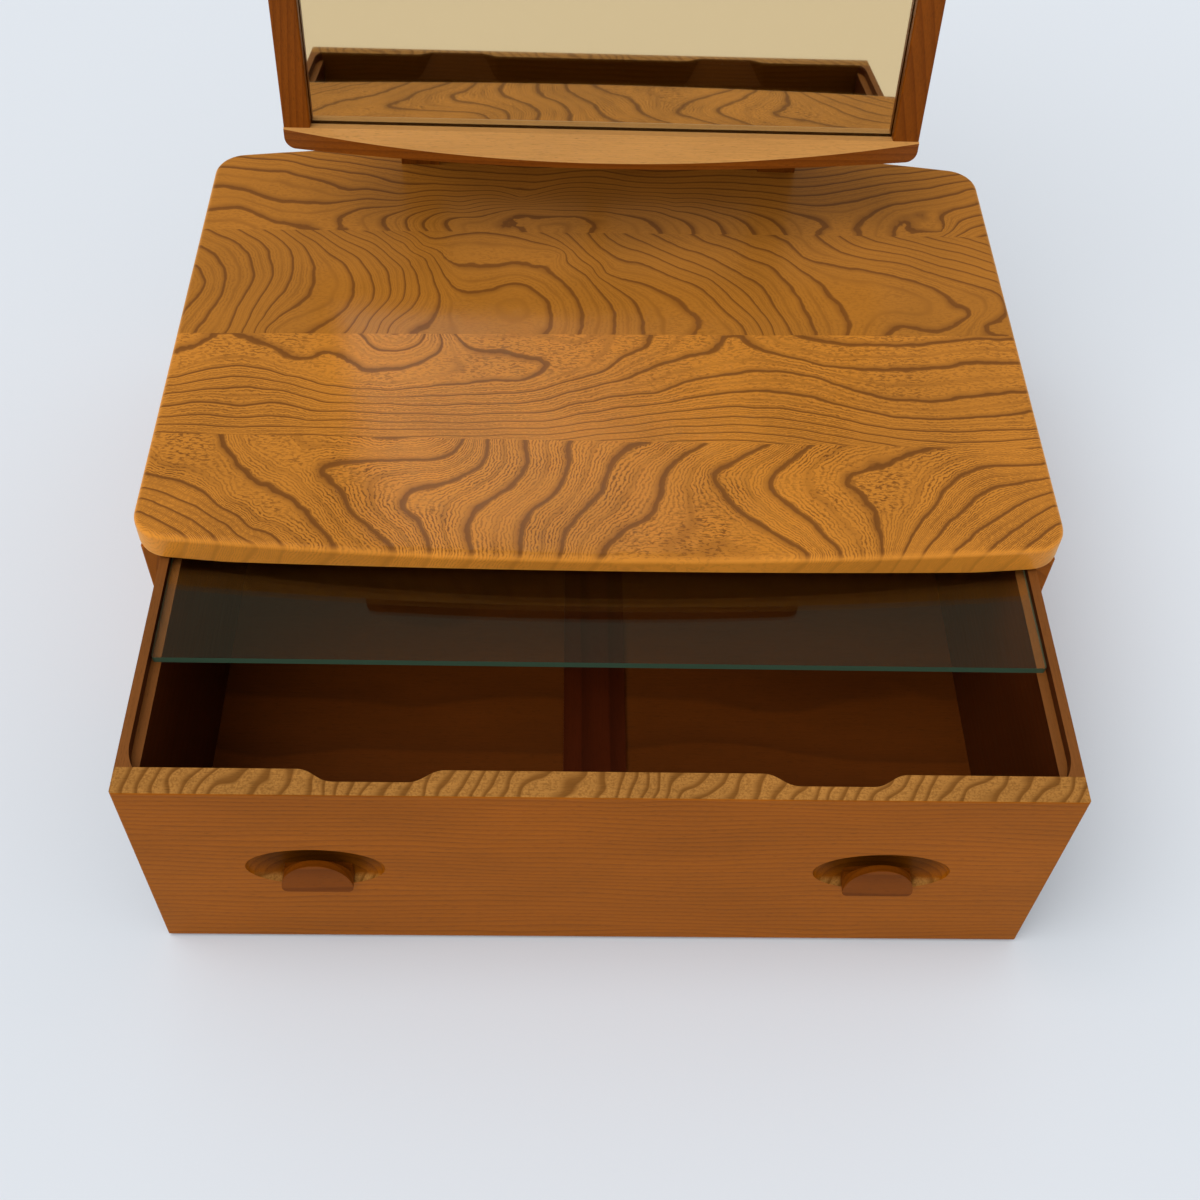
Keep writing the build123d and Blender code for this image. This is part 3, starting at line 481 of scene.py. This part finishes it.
def edge_figure(tree, place, early, late, spacing):
    """The figure on the top edge of a board: growth lines that cross it on the slant."""
    sizes = bpy.context.scene.grain_settings
    lean = math.radians(38)
    slant = add(tree, "Mapping", {
        "Vector": place, "Rotation": (0, 0, lean), "Scale": (1 / spacing, 0.6 / spacing, 0)})
    sway = add(tree, "TexNoise", {"Vector": place, "Scale": 1 / sizes.edge_sway, "Detail": 2.0})
    sway = add(tree, "Math", (sway, 5.0), operation="MULTIPLY")
    across = add(tree, "SeparateXYZ", (slant,), output="X")
    phase = add(tree, "Math", (across, sway), operation="ADD")
    share = add(tree, "Math", (phase,), operation="FRACT")
    line = add(tree, "ValToRGB", {"Fac": share}, stops=(
        (0.0, grey(0.0)), (0.45, grey(0.15)), (0.70, grey(0.8)), (0.84, grey(0.9)), (0.95, grey(0.0))))
    fleck = add(tree, "TexNoise", {"Vector": place, "Scale": 1 / sizes.edge_fleck, "Detail": 2.0})
    fleck = add(tree, "MapRange", {
        "Value": fleck, "From Min": 0.42, "From Max": 0.62, "To Min": 0.0, "To Max": 0.5})
    line = add(tree, "Math", (line, fleck), operation="MAXIMUM")
    return add(tree, "Mix", {"Factor": line, "A": early, "B": late}, data_type="RGBA")


def growth_line(tree, phase, slope, width):
    """A dark line at each whole ring, which deepens slowly and ends sharply.

    The width is in rings. Where the rings lie so far apart that it would be wider than the
    widest line, the line is squeezed.
    """
    widest = bpy.context.scene.grain_settings.widest_line / MM
    squeeze = add(tree, "Math", (width / widest, slope), operation="DIVIDE")
    squeeze = add(tree, "Math", (squeeze, 1.0), operation="MAXIMUM")
    share = add(tree, "Math", (phase,), operation="FRACT")
    share = add(tree, "Math", (share, -0.5), operation="ADD")
    share = add(tree, "Math", (share, squeeze, 0.5), operation="MULTIPLY_ADD")
    edge = 0.5 + width / 2
    return add(tree, "ValToRGB", {"Fac": share}, stops=(
        (0.5 - 1.7 * width, grey(0.0)), (0.5 - 0.5 * width, grey(0.55)),
        (0.5 - 0.2 * width, grey(1.0)), (edge - 0.01, grey(0.9)), (edge + 0.03, grey(0.0))))


def faint_line(tree, phase):
    """A faint line half way between two growth lines."""
    between = add(tree, "Math", (phase, 0.5), operation="ADD")
    between = add(tree, "Math", (between,), operation="FRACT")
    return add(tree, "ValToRGB", {"Fac": between}, stops=(
        (0.38, grey(0.0)), (0.48, grey(0.45)), (0.52, grey(0.40)), (0.56, grey(0.0))))


def fleck_beside_rings(tree, place, phase, flecks, strength):
    """Broken zigzag lines that run beside the growth lines, so many to a ring."""
    sizes = bpy.context.scene.grain_settings
    zigzag = add(tree, "TexNoise", {"Vector": place, "Scale": 1 / sizes.zigzag, "Detail": 1.0})
    zigzag = add(tree, "Math", (zigzag, 1.2), operation="MULTIPLY")
    fleck = add(tree, "Math", (phase, flecks), operation="MULTIPLY")
    fleck = add(tree, "Math", (fleck, zigzag), operation="ADD")
    fleck = add(tree, "Math", (fleck, math.tau), operation="MULTIPLY")
    fleck = add(tree, "Math", (fleck,), operation="SINE")
    dash = add(tree, "TexNoise", {"Vector": place, "Scale": 1 / sizes.dash, "Detail": 1.0})
    dash = add(tree, "MapRange", {"Value": dash, "From Min": 0.28, "From Max": 0.5})
    fleck = add(tree, "MapRange", {
        "Value": fleck, "From Min": -0.2, "From Max": 0.9, "To Min": 0.0, "To Max": strength})
    return add(tree, "Math", (fleck, dash), operation="MULTIPLY")


def fleck_of_burr(tree, place, strength):
    """Short flecks along the board, as burr shows where the rings lie far apart."""
    sizes = bpy.context.scene.grain_settings
    burr = add(tree, "Mapping", {"Vector": place, "Scale": (
        1 / sizes.zigzag, 1 / sizes.burr_width, 1 / sizes.zigzag)})
    burr = add(tree, "TexNoise", {"Vector": burr, "Scale": 1.0, "Detail": 2.0, "Distortion": 0.6})
    return add(tree, "MapRange", {
        "Value": burr, "From Min": 0.48, "From Max": 0.6, "To Min": 0.0, "To Max": 0.9 * strength})


def figured_elm(name, early, late, flecks, line_width, strength):
    """Burr-grained elm, cut through wild growth rings: dark lines with a fine fleck between them.

    The rings and how steeply they rise, in rings a millimetre, are attributes of the board's
    mesh. On a rounded edge and other faces that don't look up, the figure fades and the wood is
    painted lighter, a painted highlight.
    """
    sizes = bpy.context.scene.grain_settings
    gloss, coat = 0.34, 0.42
    material, tree = new_material(name)
    place = add(tree, "TexCoord", output="Object")
    ring = add(tree, "Attribute", output="Fac", attribute_name="ring")
    slope = add(tree, "Attribute", output="Fac", attribute_name="ring_slope")
    ripple = add(tree, "TexNoise", {"Vector": place, "Scale": 1 / sizes.line_ripple, "Detail": 3.0})
    ripple = add(tree, "MapRange", {"Value": ripple, "To Min": 0.40, "To Max": 0.60})
    phase = add(tree, "Math", (ring, ripple), operation="ADD")
    crowding = add(tree, "Math", (slope, flecks), operation="MULTIPLY")
    wild = add(tree, "MapRange", {
        "Value": crowding, "From Min": 0.15, "From Max": 0.35, "To Min": 1.0, "To Max": 0.0})
    fleck = add(tree, "Mix", {
        "Factor": wild, "A": fleck_beside_rings(tree, place, phase, flecks, strength),
        "B": fleck_of_burr(tree, place, strength)})
    patch = add(tree, "TexNoise", {"Vector": place, "Scale": 1 / sizes.patch, "Detail": 2.0})
    patch = add(tree, "MapRange", {
        "Value": patch, "From Min": 0.38, "From Max": 0.58, "To Min": 0.55, "To Max": 1.0})
    fleck = add(tree, "Math", (fleck, patch), operation="MULTIPLY")
    faint = add(tree, "Math", (faint_line(tree, phase), patch), operation="MULTIPLY")
    line = growth_line(tree, phase, slope, line_width)
    figure = add(tree, "Math", (line, fleck), operation="MAXIMUM")
    figure = add(tree, "Math", (figure, faint), operation="MAXIMUM")
    normal = add(tree, "NewGeometry", output="Normal")
    upward = add(tree, "SeparateXYZ", (normal,), output="Z")
    fade = add(tree, "MapRange", {
        "Value": upward, "From Min": 0.55, "From Max": 0.97, "To Min": 0.3, "To Max": 1.0})
    figure = add(tree, "Math", (figure, fade), operation="MULTIPLY")
    wood = add(tree, "Mix", {"Factor": figure, "A": early, "B": late}, data_type="RGBA")
    cloud = add(tree, "TexNoise", {"Vector": place, "Scale": 1 / sizes.cloud, "Detail": 2.0})
    cloud = add(tree, "MapRange", {
        "Value": cloud, "From Min": 0.3, "From Max": 0.7, "To Min": 0.90, "To Max": 1.08})
    # Painted highlight: faces that don't look up, the rounded front edge among them, are painted up to
    # 1.35 times lighter.
    wear_and_painted_highlight = add(tree, "MapRange", {
        "Value": upward, "From Min": 0.6, "From Max": 0.97, "To Min": 1.35, "To Max": 1.0})
    lift = add(tree, "Math", (cloud, wear_and_painted_highlight), operation="MULTIPLY")
    wood = add(tree, "VectorMath", {0: wood, "Scale": lift}, operation="SCALE")
    _, pores = fibres(tree, place)
    waxed_surface(tree, wood, figure, pores, 0.03 * MM, gloss, coat)
    return material


def float_glass(name, tint, density):
    """Clear float glass that lets lamps through: green in its depth and along its ground edges."""
    material, tree = new_material(name)
    glass = add(tree, "BsdfPrincipled", {
        "Base Color": grey(1.0), "Roughness": 0.0, "IOR": GLASS_IOR, "Transmission Weight": 1.0})
    ground = add(tree, "BsdfPrincipled", {
        "Base Color": linear("48644F"), "Roughness": 0.35, "IOR": GLASS_IOR})
    normal = add(tree, "NewGeometry", output="Normal")
    upward = add(tree, "SeparateXYZ", (normal,), output="Z")
    upward = add(tree, "Math", (upward,), operation="ABSOLUTE")
    flat = add(tree, "MapRange", {"Value": upward, "From Min": 0.55, "From Max": 0.75})
    solid = add(tree, "MixShader", (flat, ground, glass))
    clear = add(tree, "BsdfTransparent", {"Color": grey(0.95)})
    lamp = add(tree, "LightPath", output="Is Shadow Ray")
    both = add(tree, "MixShader", (lamp, solid, clear))
    depth = add(tree, "VolumeAbsorption", {"Color": tint, "Density": density})
    add(tree, "OutputMaterial", {"Surface": both, "Volume": depth})
    return material


def mirror_plate(name, tint, density):
    """The clear glass of a mirror plate, with the same green depth and polished edges."""
    material, tree = new_material(name)
    glass = add(tree, "BsdfPrincipled", {
        "Base Color": grey(1.0), "Roughness": 0.0, "IOR": GLASS_IOR, "Transmission Weight": 1.0})
    depth = add(tree, "VolumeAbsorption", {"Color": tint, "Density": density})
    add(tree, "OutputMaterial", {"Surface": glass, "Volume": depth})
    return material


def silvering(name):
    """Silver on the back of a mirror plate: smooth, bright, and a little soft with age."""
    material, tree = new_material(name)
    surface = add(tree, "BsdfPrincipled", {
        "Base Color": grey(0.92), "Metallic": 1.0, "Roughness": 0.015})
    add(tree, "OutputMaterial", {"Surface": surface})
    return material


def turned_metal(name, colour, rough, ring):
    """Metal that was turned or rolled: fine even scratches and a soft shine."""
    material, tree = new_material(name)
    place = add(tree, "TexCoord", output="Object")
    wear_and_painted_highlight = add(tree, "TexNoise", {"Vector": place, "Scale": 1 / ring, "Detail": 3.0})
    shine = add(tree, "MapRange", {"Value": wear_and_painted_highlight, "To Min": rough - 0.1, "To Max": rough + 0.12})
    tone = add(tree, "MapRange", {"Value": wear_and_painted_highlight, "To Min": 0.75, "To Max": 1.1})
    metal = add(tree, "VectorMath", {0: colour, "Scale": tone}, operation="SCALE")
    bump = add(tree, "Bump", {"Height": wear_and_painted_highlight, "Strength": 0.2, "Distance": 0.03 * MM})
    surface = add(tree, "BsdfPrincipled", {
        "Base Color": metal, "Metallic": 1.0, "Roughness": shine, "Normal": bump})
    add(tree, "OutputMaterial", {"Surface": surface})
    return material


def pressed_board(name, colour, grit):
    """Board pressed from fibre: matt, speckled and slightly felted."""
    material, tree = new_material(name)
    place = add(tree, "TexCoord", output="Object")
    speck = add(tree, "TexNoise", {"Vector": place, "Scale": 1 / grit, "Detail": 4.0, "Roughness": 0.7})
    tone = add(tree, "MapRange", {
        "Value": speck, "From Min": 0.3, "From Max": 0.7, "To Min": 0.78, "To Max": 1.15})
    board = add(tree, "VectorMath", {0: colour, "Scale": tone}, operation="SCALE")
    bump = add(tree, "Bump", {"Height": speck, "Strength": 0.4, "Distance": 0.08 * MM})
    surface = add(tree, "BsdfPrincipled", {"Base Color": board, "Roughness": 0.82, "Normal": bump})
    add(tree, "OutputMaterial", {"Surface": surface})
    return material


def dress(material, *names):
    """Gives CAD nodes a material."""
    for name in names:
        slots = NODES[name].material_slots
        if not slots:
            NODES[name].data.materials.append(material)
        for slot in slots:
            slot.material = material


def sheet_through(lines):
    """A thin plate bent through points with heights: returns a function of places to heights.

    Places are in millimetres. The scale and the softness keep the sums well behaved.
    """
    scale, softness = 100.0, 1e-3
    points = np.array([point for _, *track in lines for point in track], dtype=float)
    heights = np.array([ring for ring, *track in lines for _ in track], dtype=float)

    def plate(squares):
        return np.where(squares > 0, squares * np.log(np.maximum(squares, 1e-9)), 0.0)

    def squares(one, two):
        return ((one[:, None, :] - two[None, :, :]) ** 2).sum(axis=2)

    knots = points / scale
    flat = np.hstack((np.ones((len(knots), 1)), knots))
    stiffness = plate(squares(knots, knots)) + softness * np.eye(len(knots))
    system = np.block([[stiffness, flat], [flat.T, np.zeros((3, 3))]])
    weights = np.linalg.solve(system, np.concatenate((heights, np.zeros(3))))

    def height(places):
        places = np.asarray(places) / scale
        bent = plate(squares(places, knots)) @ weights[:-3]
        return bent + np.hstack((np.ones((len(places), 1)), places)) @ weights[-3:]

    return height


def board_with_figure(node_name, lines, material):
    """A copy of a top board, gridded finely enough to carry its growth rings as attributes."""
    grid = bpy.context.scene.grain_settings.figure_grid
    lo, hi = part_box(node_name)
    board = bmesh.new()
    board.from_mesh(NODES[node_name].data)
    bmesh.ops.remove_doubles(board, verts=board.verts, dist=MERGE)
    bmesh.ops.dissolve_limit(
        board, angle_limit=math.radians(0.1), verts=board.verts, edges=board.edges)
    for axis in (0, 1):
        normal = Vector((axis == 0, axis == 1, 0))
        for step in range(1, math.ceil((hi[axis] - lo[axis]) / grid)):
            bmesh.ops.bisect_plane(
                board, geom=board.verts[:] + board.edges[:] + board.faces[:],
                plane_co=normal * (lo[axis] + step * grid), plane_no=normal, dist=1e-7)
    for face in board.faces:
        face.smooth = True
    for edge in board.edges:
        edge.smooth = len(edge.link_faces) == 2 and edge.calc_face_angle() < SHARP
    board.verts.ensure_lookup_table()
    places = np.array([(vert.co.x, vert.co.y) for vert in board.verts]) / MM
    drop = np.array([hi.z - vert.co.z for vert in board.verts]) / MM
    sheet = sheet_through(lines)
    rings = sheet(places)
    reach = 0.5  # millimetres to each side, to see how steeply the sheet rises
    slopes = np.hypot(
        sheet(places + (reach, 0)) - rings, sheet(places + (0, reach)) - rings) / reach
    rings += drop * RING_LEAN
    layer = board.verts.layers.float.new("ring")
    steepness = board.verts.layers.float.new("ring_slope")
    for vert, ring, slope in zip(board.verts, rings, slopes):
        vert[layer] = ring
        vert[steepness] = slope
    mesh = bpy.data.meshes.new(node_name + "_figured")
    board.to_mesh(mesh)
    board.free()
    piece = new_object(node_name + "_figured", mesh)
    piece.data.materials.append(material)
    weighted = piece.modifiers.new("weighted_normals", "WEIGHTED_NORMAL")
    weighted.keep_sharp = True
    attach(piece, body_of(NODES[node_name])[0])
    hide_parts(node_name)


class DRESSING_MIRROR_OT_stage(bpy.types.Operator):
    """Lays the floor, hangs the lamp and stands the camera"""

    bl_idname = "dressing_mirror.stage"
    bl_label = "Stage"

    def execute(self, context):
        settings = context.scene.stage_settings
        context.scene.view_settings.view_transform = "Standard"
        self.floor(settings)
        self.lamp(settings)
        self.room(settings)
        self.camera(settings)
        return {"FINISHED"}

    def floor(self, settings):
        """A plain pale floor. Mirrors and polish show the boarded floor of the room instead."""
        bed = bmesh.new()
        bmesh.ops.create_grid(bed, x_segments=1, y_segments=1, size=settings.floor_width / 2)
        mesh = bpy.data.meshes.new("floor")
        bed.to_mesh(mesh)
        bed.free()
        floor = new_object("floor", mesh)
        material, tree = new_material("studio_floor")
        colour = add(tree, "Mix", {
            "Factor": add(tree, "LightPath", output="Is Glossy Ray"),
            "A": settings.floor_colour, "B": settings.reflected_floor}, data_type="RGBA")
        surface = add(tree, "BsdfDiffuse", {"Color": colour})
        add(tree, "OutputMaterial", {"Surface": surface})
        floor.data.materials.append(material)

    def lamp(self, settings):
        """One broad soft lamp, high up and a little to the left and the front, unseen in polish."""
        light = bpy.data.lights.new("key", "SUN")
        light.energy = settings.key
        light.angle = settings.key_width
        lamp = new_object("key", light)
        lamp.visible_glossy = False
        lamp.rotation_euler = Vector(settings.key_direction).to_track_quat("-Z", "Y").to_euler()

    def room(self, settings):
        """Even light from all round: pale behind the object, and dim where polish shows it."""
        world = bpy.data.worlds.new("room")
        bpy.context.scene.world = world
        world.use_nodes = True
        tree = world.node_tree
        tree.nodes.clear()
        fill = add(tree, "Background", {"Color": grey(1.0), "Strength": settings.fill})
        seen = add(tree, "Background", {"Color": settings.floor_colour, "Strength": 1.0})
        shine = add(tree, "Background", {"Color": settings.reflected_room, "Strength": 1.0})
        gloss = add(tree, "MixShader", (add(tree, "LightPath", output="Is Glossy Ray"), fill, shine))
        both = add(tree, "MixShader", (add(tree, "LightPath", output="Is Camera Ray"), gloss, seen))
        add(tree, "OutputWorld", {"Surface": both})

    def camera(self, settings):
        """The camera, from its place, yaw, pitch and roll."""
        lens = bpy.data.cameras.new("camera")
        lens.lens = settings.lens
        lens.sensor_width = 36.0
        lens.clip_start = 0.01
        camera = new_object("camera", lens)
        yaw, pitch, roll = settings.camera_yaw, settings.camera_pitch, settings.camera_roll
        ahead = Vector((
            math.sin(yaw) * math.cos(pitch), math.cos(yaw) * math.cos(pitch), -math.sin(pitch)))
        level = Vector((math.cos(yaw), -math.sin(yaw), 0))
        above = level.cross(ahead)
        right = level * math.cos(roll) + above * math.sin(roll)
        up = above * math.cos(roll) - level * math.sin(roll)
        turn = Matrix((right, up, -ahead)).transposed().to_4x4()
        camera.matrix_world = Matrix.Translation(Vector(settings.camera_place)) @ turn
        bpy.context.scene.camera = camera


class DRESSING_MIRROR_OT_top(bpy.types.Operator):
    """Finishes the four boards of the top, each with its own figure"""

    bl_idname = "dressing_mirror.top"
    bl_label = "Top Boards"

    def execute(self, context):
        colours = context.scene.finish_settings
        # For each board: its lines, flecks to a ring, a line's width in rings, the strength of
        # the fleck, and its tone beside the others, partly the board's own and, on the two rear
        # boards, also painted shade near the mirror.
        for node, lines, flecks, width, strength, tone in (
                ("top_plank_rear", REAR_LINES, 5, 0.16, 0.35, 0.77),
                ("top_plank_mid_rear", MID_REAR_LINES, 7, 0.12, 0.40, 0.73),
                ("top_plank_mid_front", MID_FRONT_LINES, 5, 0.13, 0.8, 0.98),
                ("top_plank_front", FRONT_LINES, 13, 0.13, 1.0, 1.0)):
            wood = figured_elm(
                "figured_elm_" + node.removeprefix("top_plank_"),
                tuple(tone * part for part in colours.elm_gold), colours.elm_line,
                flecks, width, strength)
            board_with_figure(node, lines, wood)
        return {"FINISHED"}


class DRESSING_MIRROR_OT_case(bpy.types.Operator):
    """Finishes the case: its sides, bottom and back, and the drawer's runners and stops"""

    bl_idname = "dressing_mirror.case"
    bl_label = "Case"

    def execute(self, context):
        colours = context.scene.finish_settings
        dress(straight_wood(
            "waxed_elm_case_sides", "y", colours.elm_orange, colours.elm_brown, 9 * MM, (0.2, -0.05)),
            "case_side_right", "case_side_left")
        dress(straight_wood(
            "stained_case_boards", "x", colours.drawer_brown, linear("3C1A08"), 8 * MM, (0.1, 0.2)),
            "case_bottom", "case_back")
        dress(straight_wood(
            "oiled_beech", "y", linear("C79A66"), linear("B08350"), 5 * MM, (0.05, 0.1), coat=0.0),
            "runner_right", "runner_left", "drawer_stops", "top_dowels_right", "top_dowels_left")
        return {"FINISHED"}


class DRESSING_MIRROR_OT_stand(bpy.types.Operator):
    """Finishes the stand behind the top: uprights, spindle, rails and screws"""

    bl_idname = "dressing_mirror.stand"
    bl_label = "Stand"

    def execute(self, context):
        colours = context.scene.finish_settings
        dress(straight_wood(
            "waxed_elm_posts", "z", colours.frame_orange, colours.frame_brown, 7 * MM, (0.1, 0.1)),
            "upright_right", "upright_left", "stand_spindle")
        dress(straight_wood(
            "waxed_elm_stand_rails", "x", colours.frame_orange, colours.frame_brown, 7 * MM, (0.1, 0.1)),
            "stand_cross_rail", "stand_low_rail")
        dress(turned_metal("turned_brass", linear("C8A35A"), 0.32, 0.5 * MM),
              "stand_screws", "batten_screws", "backboard_pins")
        return {"FINISHED"}


class DRESSING_MIRROR_OT_drawer(bpy.types.Operator):
    """Finishes the drawer: its elm front and pulls, and the stained box behind"""

    bl_idname = "dressing_mirror.drawer"
    bl_label = "Drawer"

    def execute(self, context):
        colours = context.scene.finish_settings
        # The front is painted darker with depth behind its face, a painted shade in the pull recesses
        # and on its inner face.
        dress(straight_wood(
            "waxed_elm_drawer_front", "x", colours.elm_orange, colours.elm_brown, 4.5 * MM, (0.2, 0.16),
            wander=22 * MM, contrast=0.75, edge=(linear("B47C3A"), linear("744616"), 9 * MM),
            hollow=(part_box("drawer_front")[0].y, 9 * MM)),
            "drawer_front")
        dress(straight_wood(
            "waxed_elm_pulls", "x", linear("7C3E06"), linear("602C03"), 4 * MM, (0.05, 0.02)),
            "pull_right", "pull_left")
        # Faces of the drawer sides that look up, their top edges and ledges, are painted paler, a
        # painted light.
        dress(straight_wood(
            "stained_drawer_sides", "y", colours.drawer_brown, linear("3C1A08"), 7 * MM, (0.1, 0.2),
            painted_top_light=linear("7C4A20")),
            "drawer_side_right", "drawer_side_left")
        dress(straight_wood(
            "stained_drawer_muntin", "y", linear("481A06"), linear("301004"), 9 * MM, (0.1, 0.2)),
            "drawer_muntin")
        dress(straight_wood(
            "stained_drawer_panels", "x", linear("5C2C09"), linear("3E1B06"), 16 * MM, (0.1, 0.3),
            wander=20 * MM, contrast=0.5),
            "drawer_back", "drawer_bottom_right", "drawer_bottom_left")
        return {"FINISHED"}


class DRESSING_MIRROR_OT_tray(bpy.types.Operator):
    """Finishes the sliding glass tray"""

    bl_idname = "dressing_mirror.tray"
    bl_label = "Glass Tray"

    def execute(self, context):
        colours = context.scene.finish_settings
        dress(float_glass("float_glass_tray", colours.glass_tint, 20.0), "glass_tray")
        return {"FINISHED"}


class DRESSING_MIRROR_OT_mirror(bpy.types.Operator):
    """Finishes the mirror: its frame, its silvered plate, its backboard and its batten"""

    bl_idname = "dressing_mirror.mirror"
    bl_label = "Mirror"

    def execute(self, context):
        colours = context.scene.finish_settings
        dress(straight_wood(
            "waxed_elm_stiles", "z", colours.frame_orange, colours.frame_brown, 4 * MM, (0.1, 0.1)),
            "mirror_stile_right", "mirror_stile_left")
        # The bottom rail's upward sloping face is painted paler, a painted highlight from above.
        dress(straight_wood(
            "elm_rail_with_painted_light", "x", colours.frame_orange, colours.frame_brown, 5 * MM, (0.1, 0.1),
            coat=0.3, painted_top_light=linear("C88E4C")),
            "mirror_rail_bottom")
        dress(straight_wood(
            "waxed_elm_rails", "x", colours.frame_orange, colours.frame_brown, 5 * MM, (0.1, 0.1)),
            "mirror_rail_top", "mirror_batten",
            "pivot_block_right", "pivot_block_left")
        dress(mirror_plate("mirror_plate_glass", colours.glass_tint, 20.0), "mirror_glass")
        self.silver()
        dress(pressed_board("hardboard", linear("7B5A3C"), 0.8 * MM), "mirror_backboard")
        return {"FINISHED"}

    def silver(self):
        """The silver coat, a thin skin cut from the back of the plate."""
        plate = bmesh.new()
        plate.from_mesh(NODES["mirror_glass"].data)
        bmesh.ops.remove_doubles(plate, verts=plate.verts, dist=MERGE)
        back = max(plate.faces, key=lambda face: face.calc_area() * face.normal.y)
        facing = back.normal.copy()
        skin, inset = 0.15 * MM, 0.999
        cut = bmesh.ops.bisect_plane(
            plate, geom=plate.verts[:] + plate.edges[:] + plate.faces[:], dist=1e-7,
            plane_co=back.calc_center_median() - facing * skin, plane_no=facing, clear_inner=True)
        rim = [each for each in cut["geom_cut"] if isinstance(each, bmesh.types.BMEdge)]
        bmesh.ops.edgeloop_fill(plate, edges=rim)
        bmesh.ops.recalc_face_normals(plate, faces=plate.faces)
        centre = sum((vert.co for vert in plate.verts), Vector()) / len(plate.verts)
        bmesh.ops.scale(
            plate, verts=plate.verts, vec=(inset, inset, inset), space=Matrix.Translation(-centre))
        mesh = bpy.data.meshes.new("mirror_silver")
        plate.to_mesh(mesh)
        plate.free()
        piece = new_object("mirror_silver", mesh)
        piece.data.materials.append(silvering("mirror_silver"))
        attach(piece, "mirror")


class DRESSING_MIRROR_OT_pivots(bpy.types.Operator):
    """Finishes the pivots: bolts, washers and clamp knobs"""

    bl_idname = "dressing_mirror.pivots"
    bl_label = "Pivots"

    def execute(self, context):
        colours = context.scene.finish_settings
        dress(turned_metal("bright_steel", linear("B9BCC0"), 0.3, 0.4 * MM),
              "pivot_bolt_right", "pivot_bolt_left", "knob_washer_right", "knob_washer_left")
        dress(pressed_board("red_fibre", linear("6E2A1E"), 0.5 * MM),
              "friction_washer_right", "friction_washer_left")
        dress(straight_wood(
            "waxed_elm_knobs", "x", colours.frame_orange, colours.frame_brown, 5 * MM, (0.03, 0.03)),
            "clamp_knob_right", "clamp_knob_left")
        return {"FINISHED"}


OPERATORS = (
    DRESSING_MIRROR_OT_stage, DRESSING_MIRROR_OT_top, DRESSING_MIRROR_OT_case,
    DRESSING_MIRROR_OT_stand, DRESSING_MIRROR_OT_drawer, DRESSING_MIRROR_OT_tray,
    DRESSING_MIRROR_OT_mirror, DRESSING_MIRROR_OT_pivots,
)


class DRESSING_MIRROR_PT_panel(bpy.types.Panel):
    """Lists the pieces and the settings of the dressing mirror"""

    bl_idname = "DRESSING_MIRROR_PT_panel"
    bl_label = "Dressing Mirror"
    bl_space_type = "VIEW_3D"
    bl_region_type = "UI"
    bl_category = "Dressing Mirror"

    def draw(self, context):
        for group in SETTINGS:
            settings = getattr(context.scene, group)
            for name in settings.__annotations__:
                self.layout.prop(settings, name)
        for operator in OPERATORS:
            self.layout.operator(operator.bl_idname)


SETTINGS = {
    "stage_settings": StageSettings, "finish_settings": FinishSettings,
    "grain_settings": GrainSettings,
}
CLASSES = (*SETTINGS.values(), *OPERATORS, DRESSING_MIRROR_PT_panel)


def register():
    for each in CLASSES:
        bpy.utils.register_class(each)
    for name, group in SETTINGS.items():
        setattr(bpy.types.Scene, name, bpy.props.PointerProperty(type=group))


def unregister():
    for name in SETTINGS:
        delattr(bpy.types.Scene, name)
    for each in reversed(CLASSES):
        bpy.utils.unregister_class(each)


def main():
    register()
    for operator in OPERATORS:
        family, name = operator.bl_idname.split(".")
        getattr(getattr(bpy.ops, family), name)()


if __name__ == "__main__":
    main()
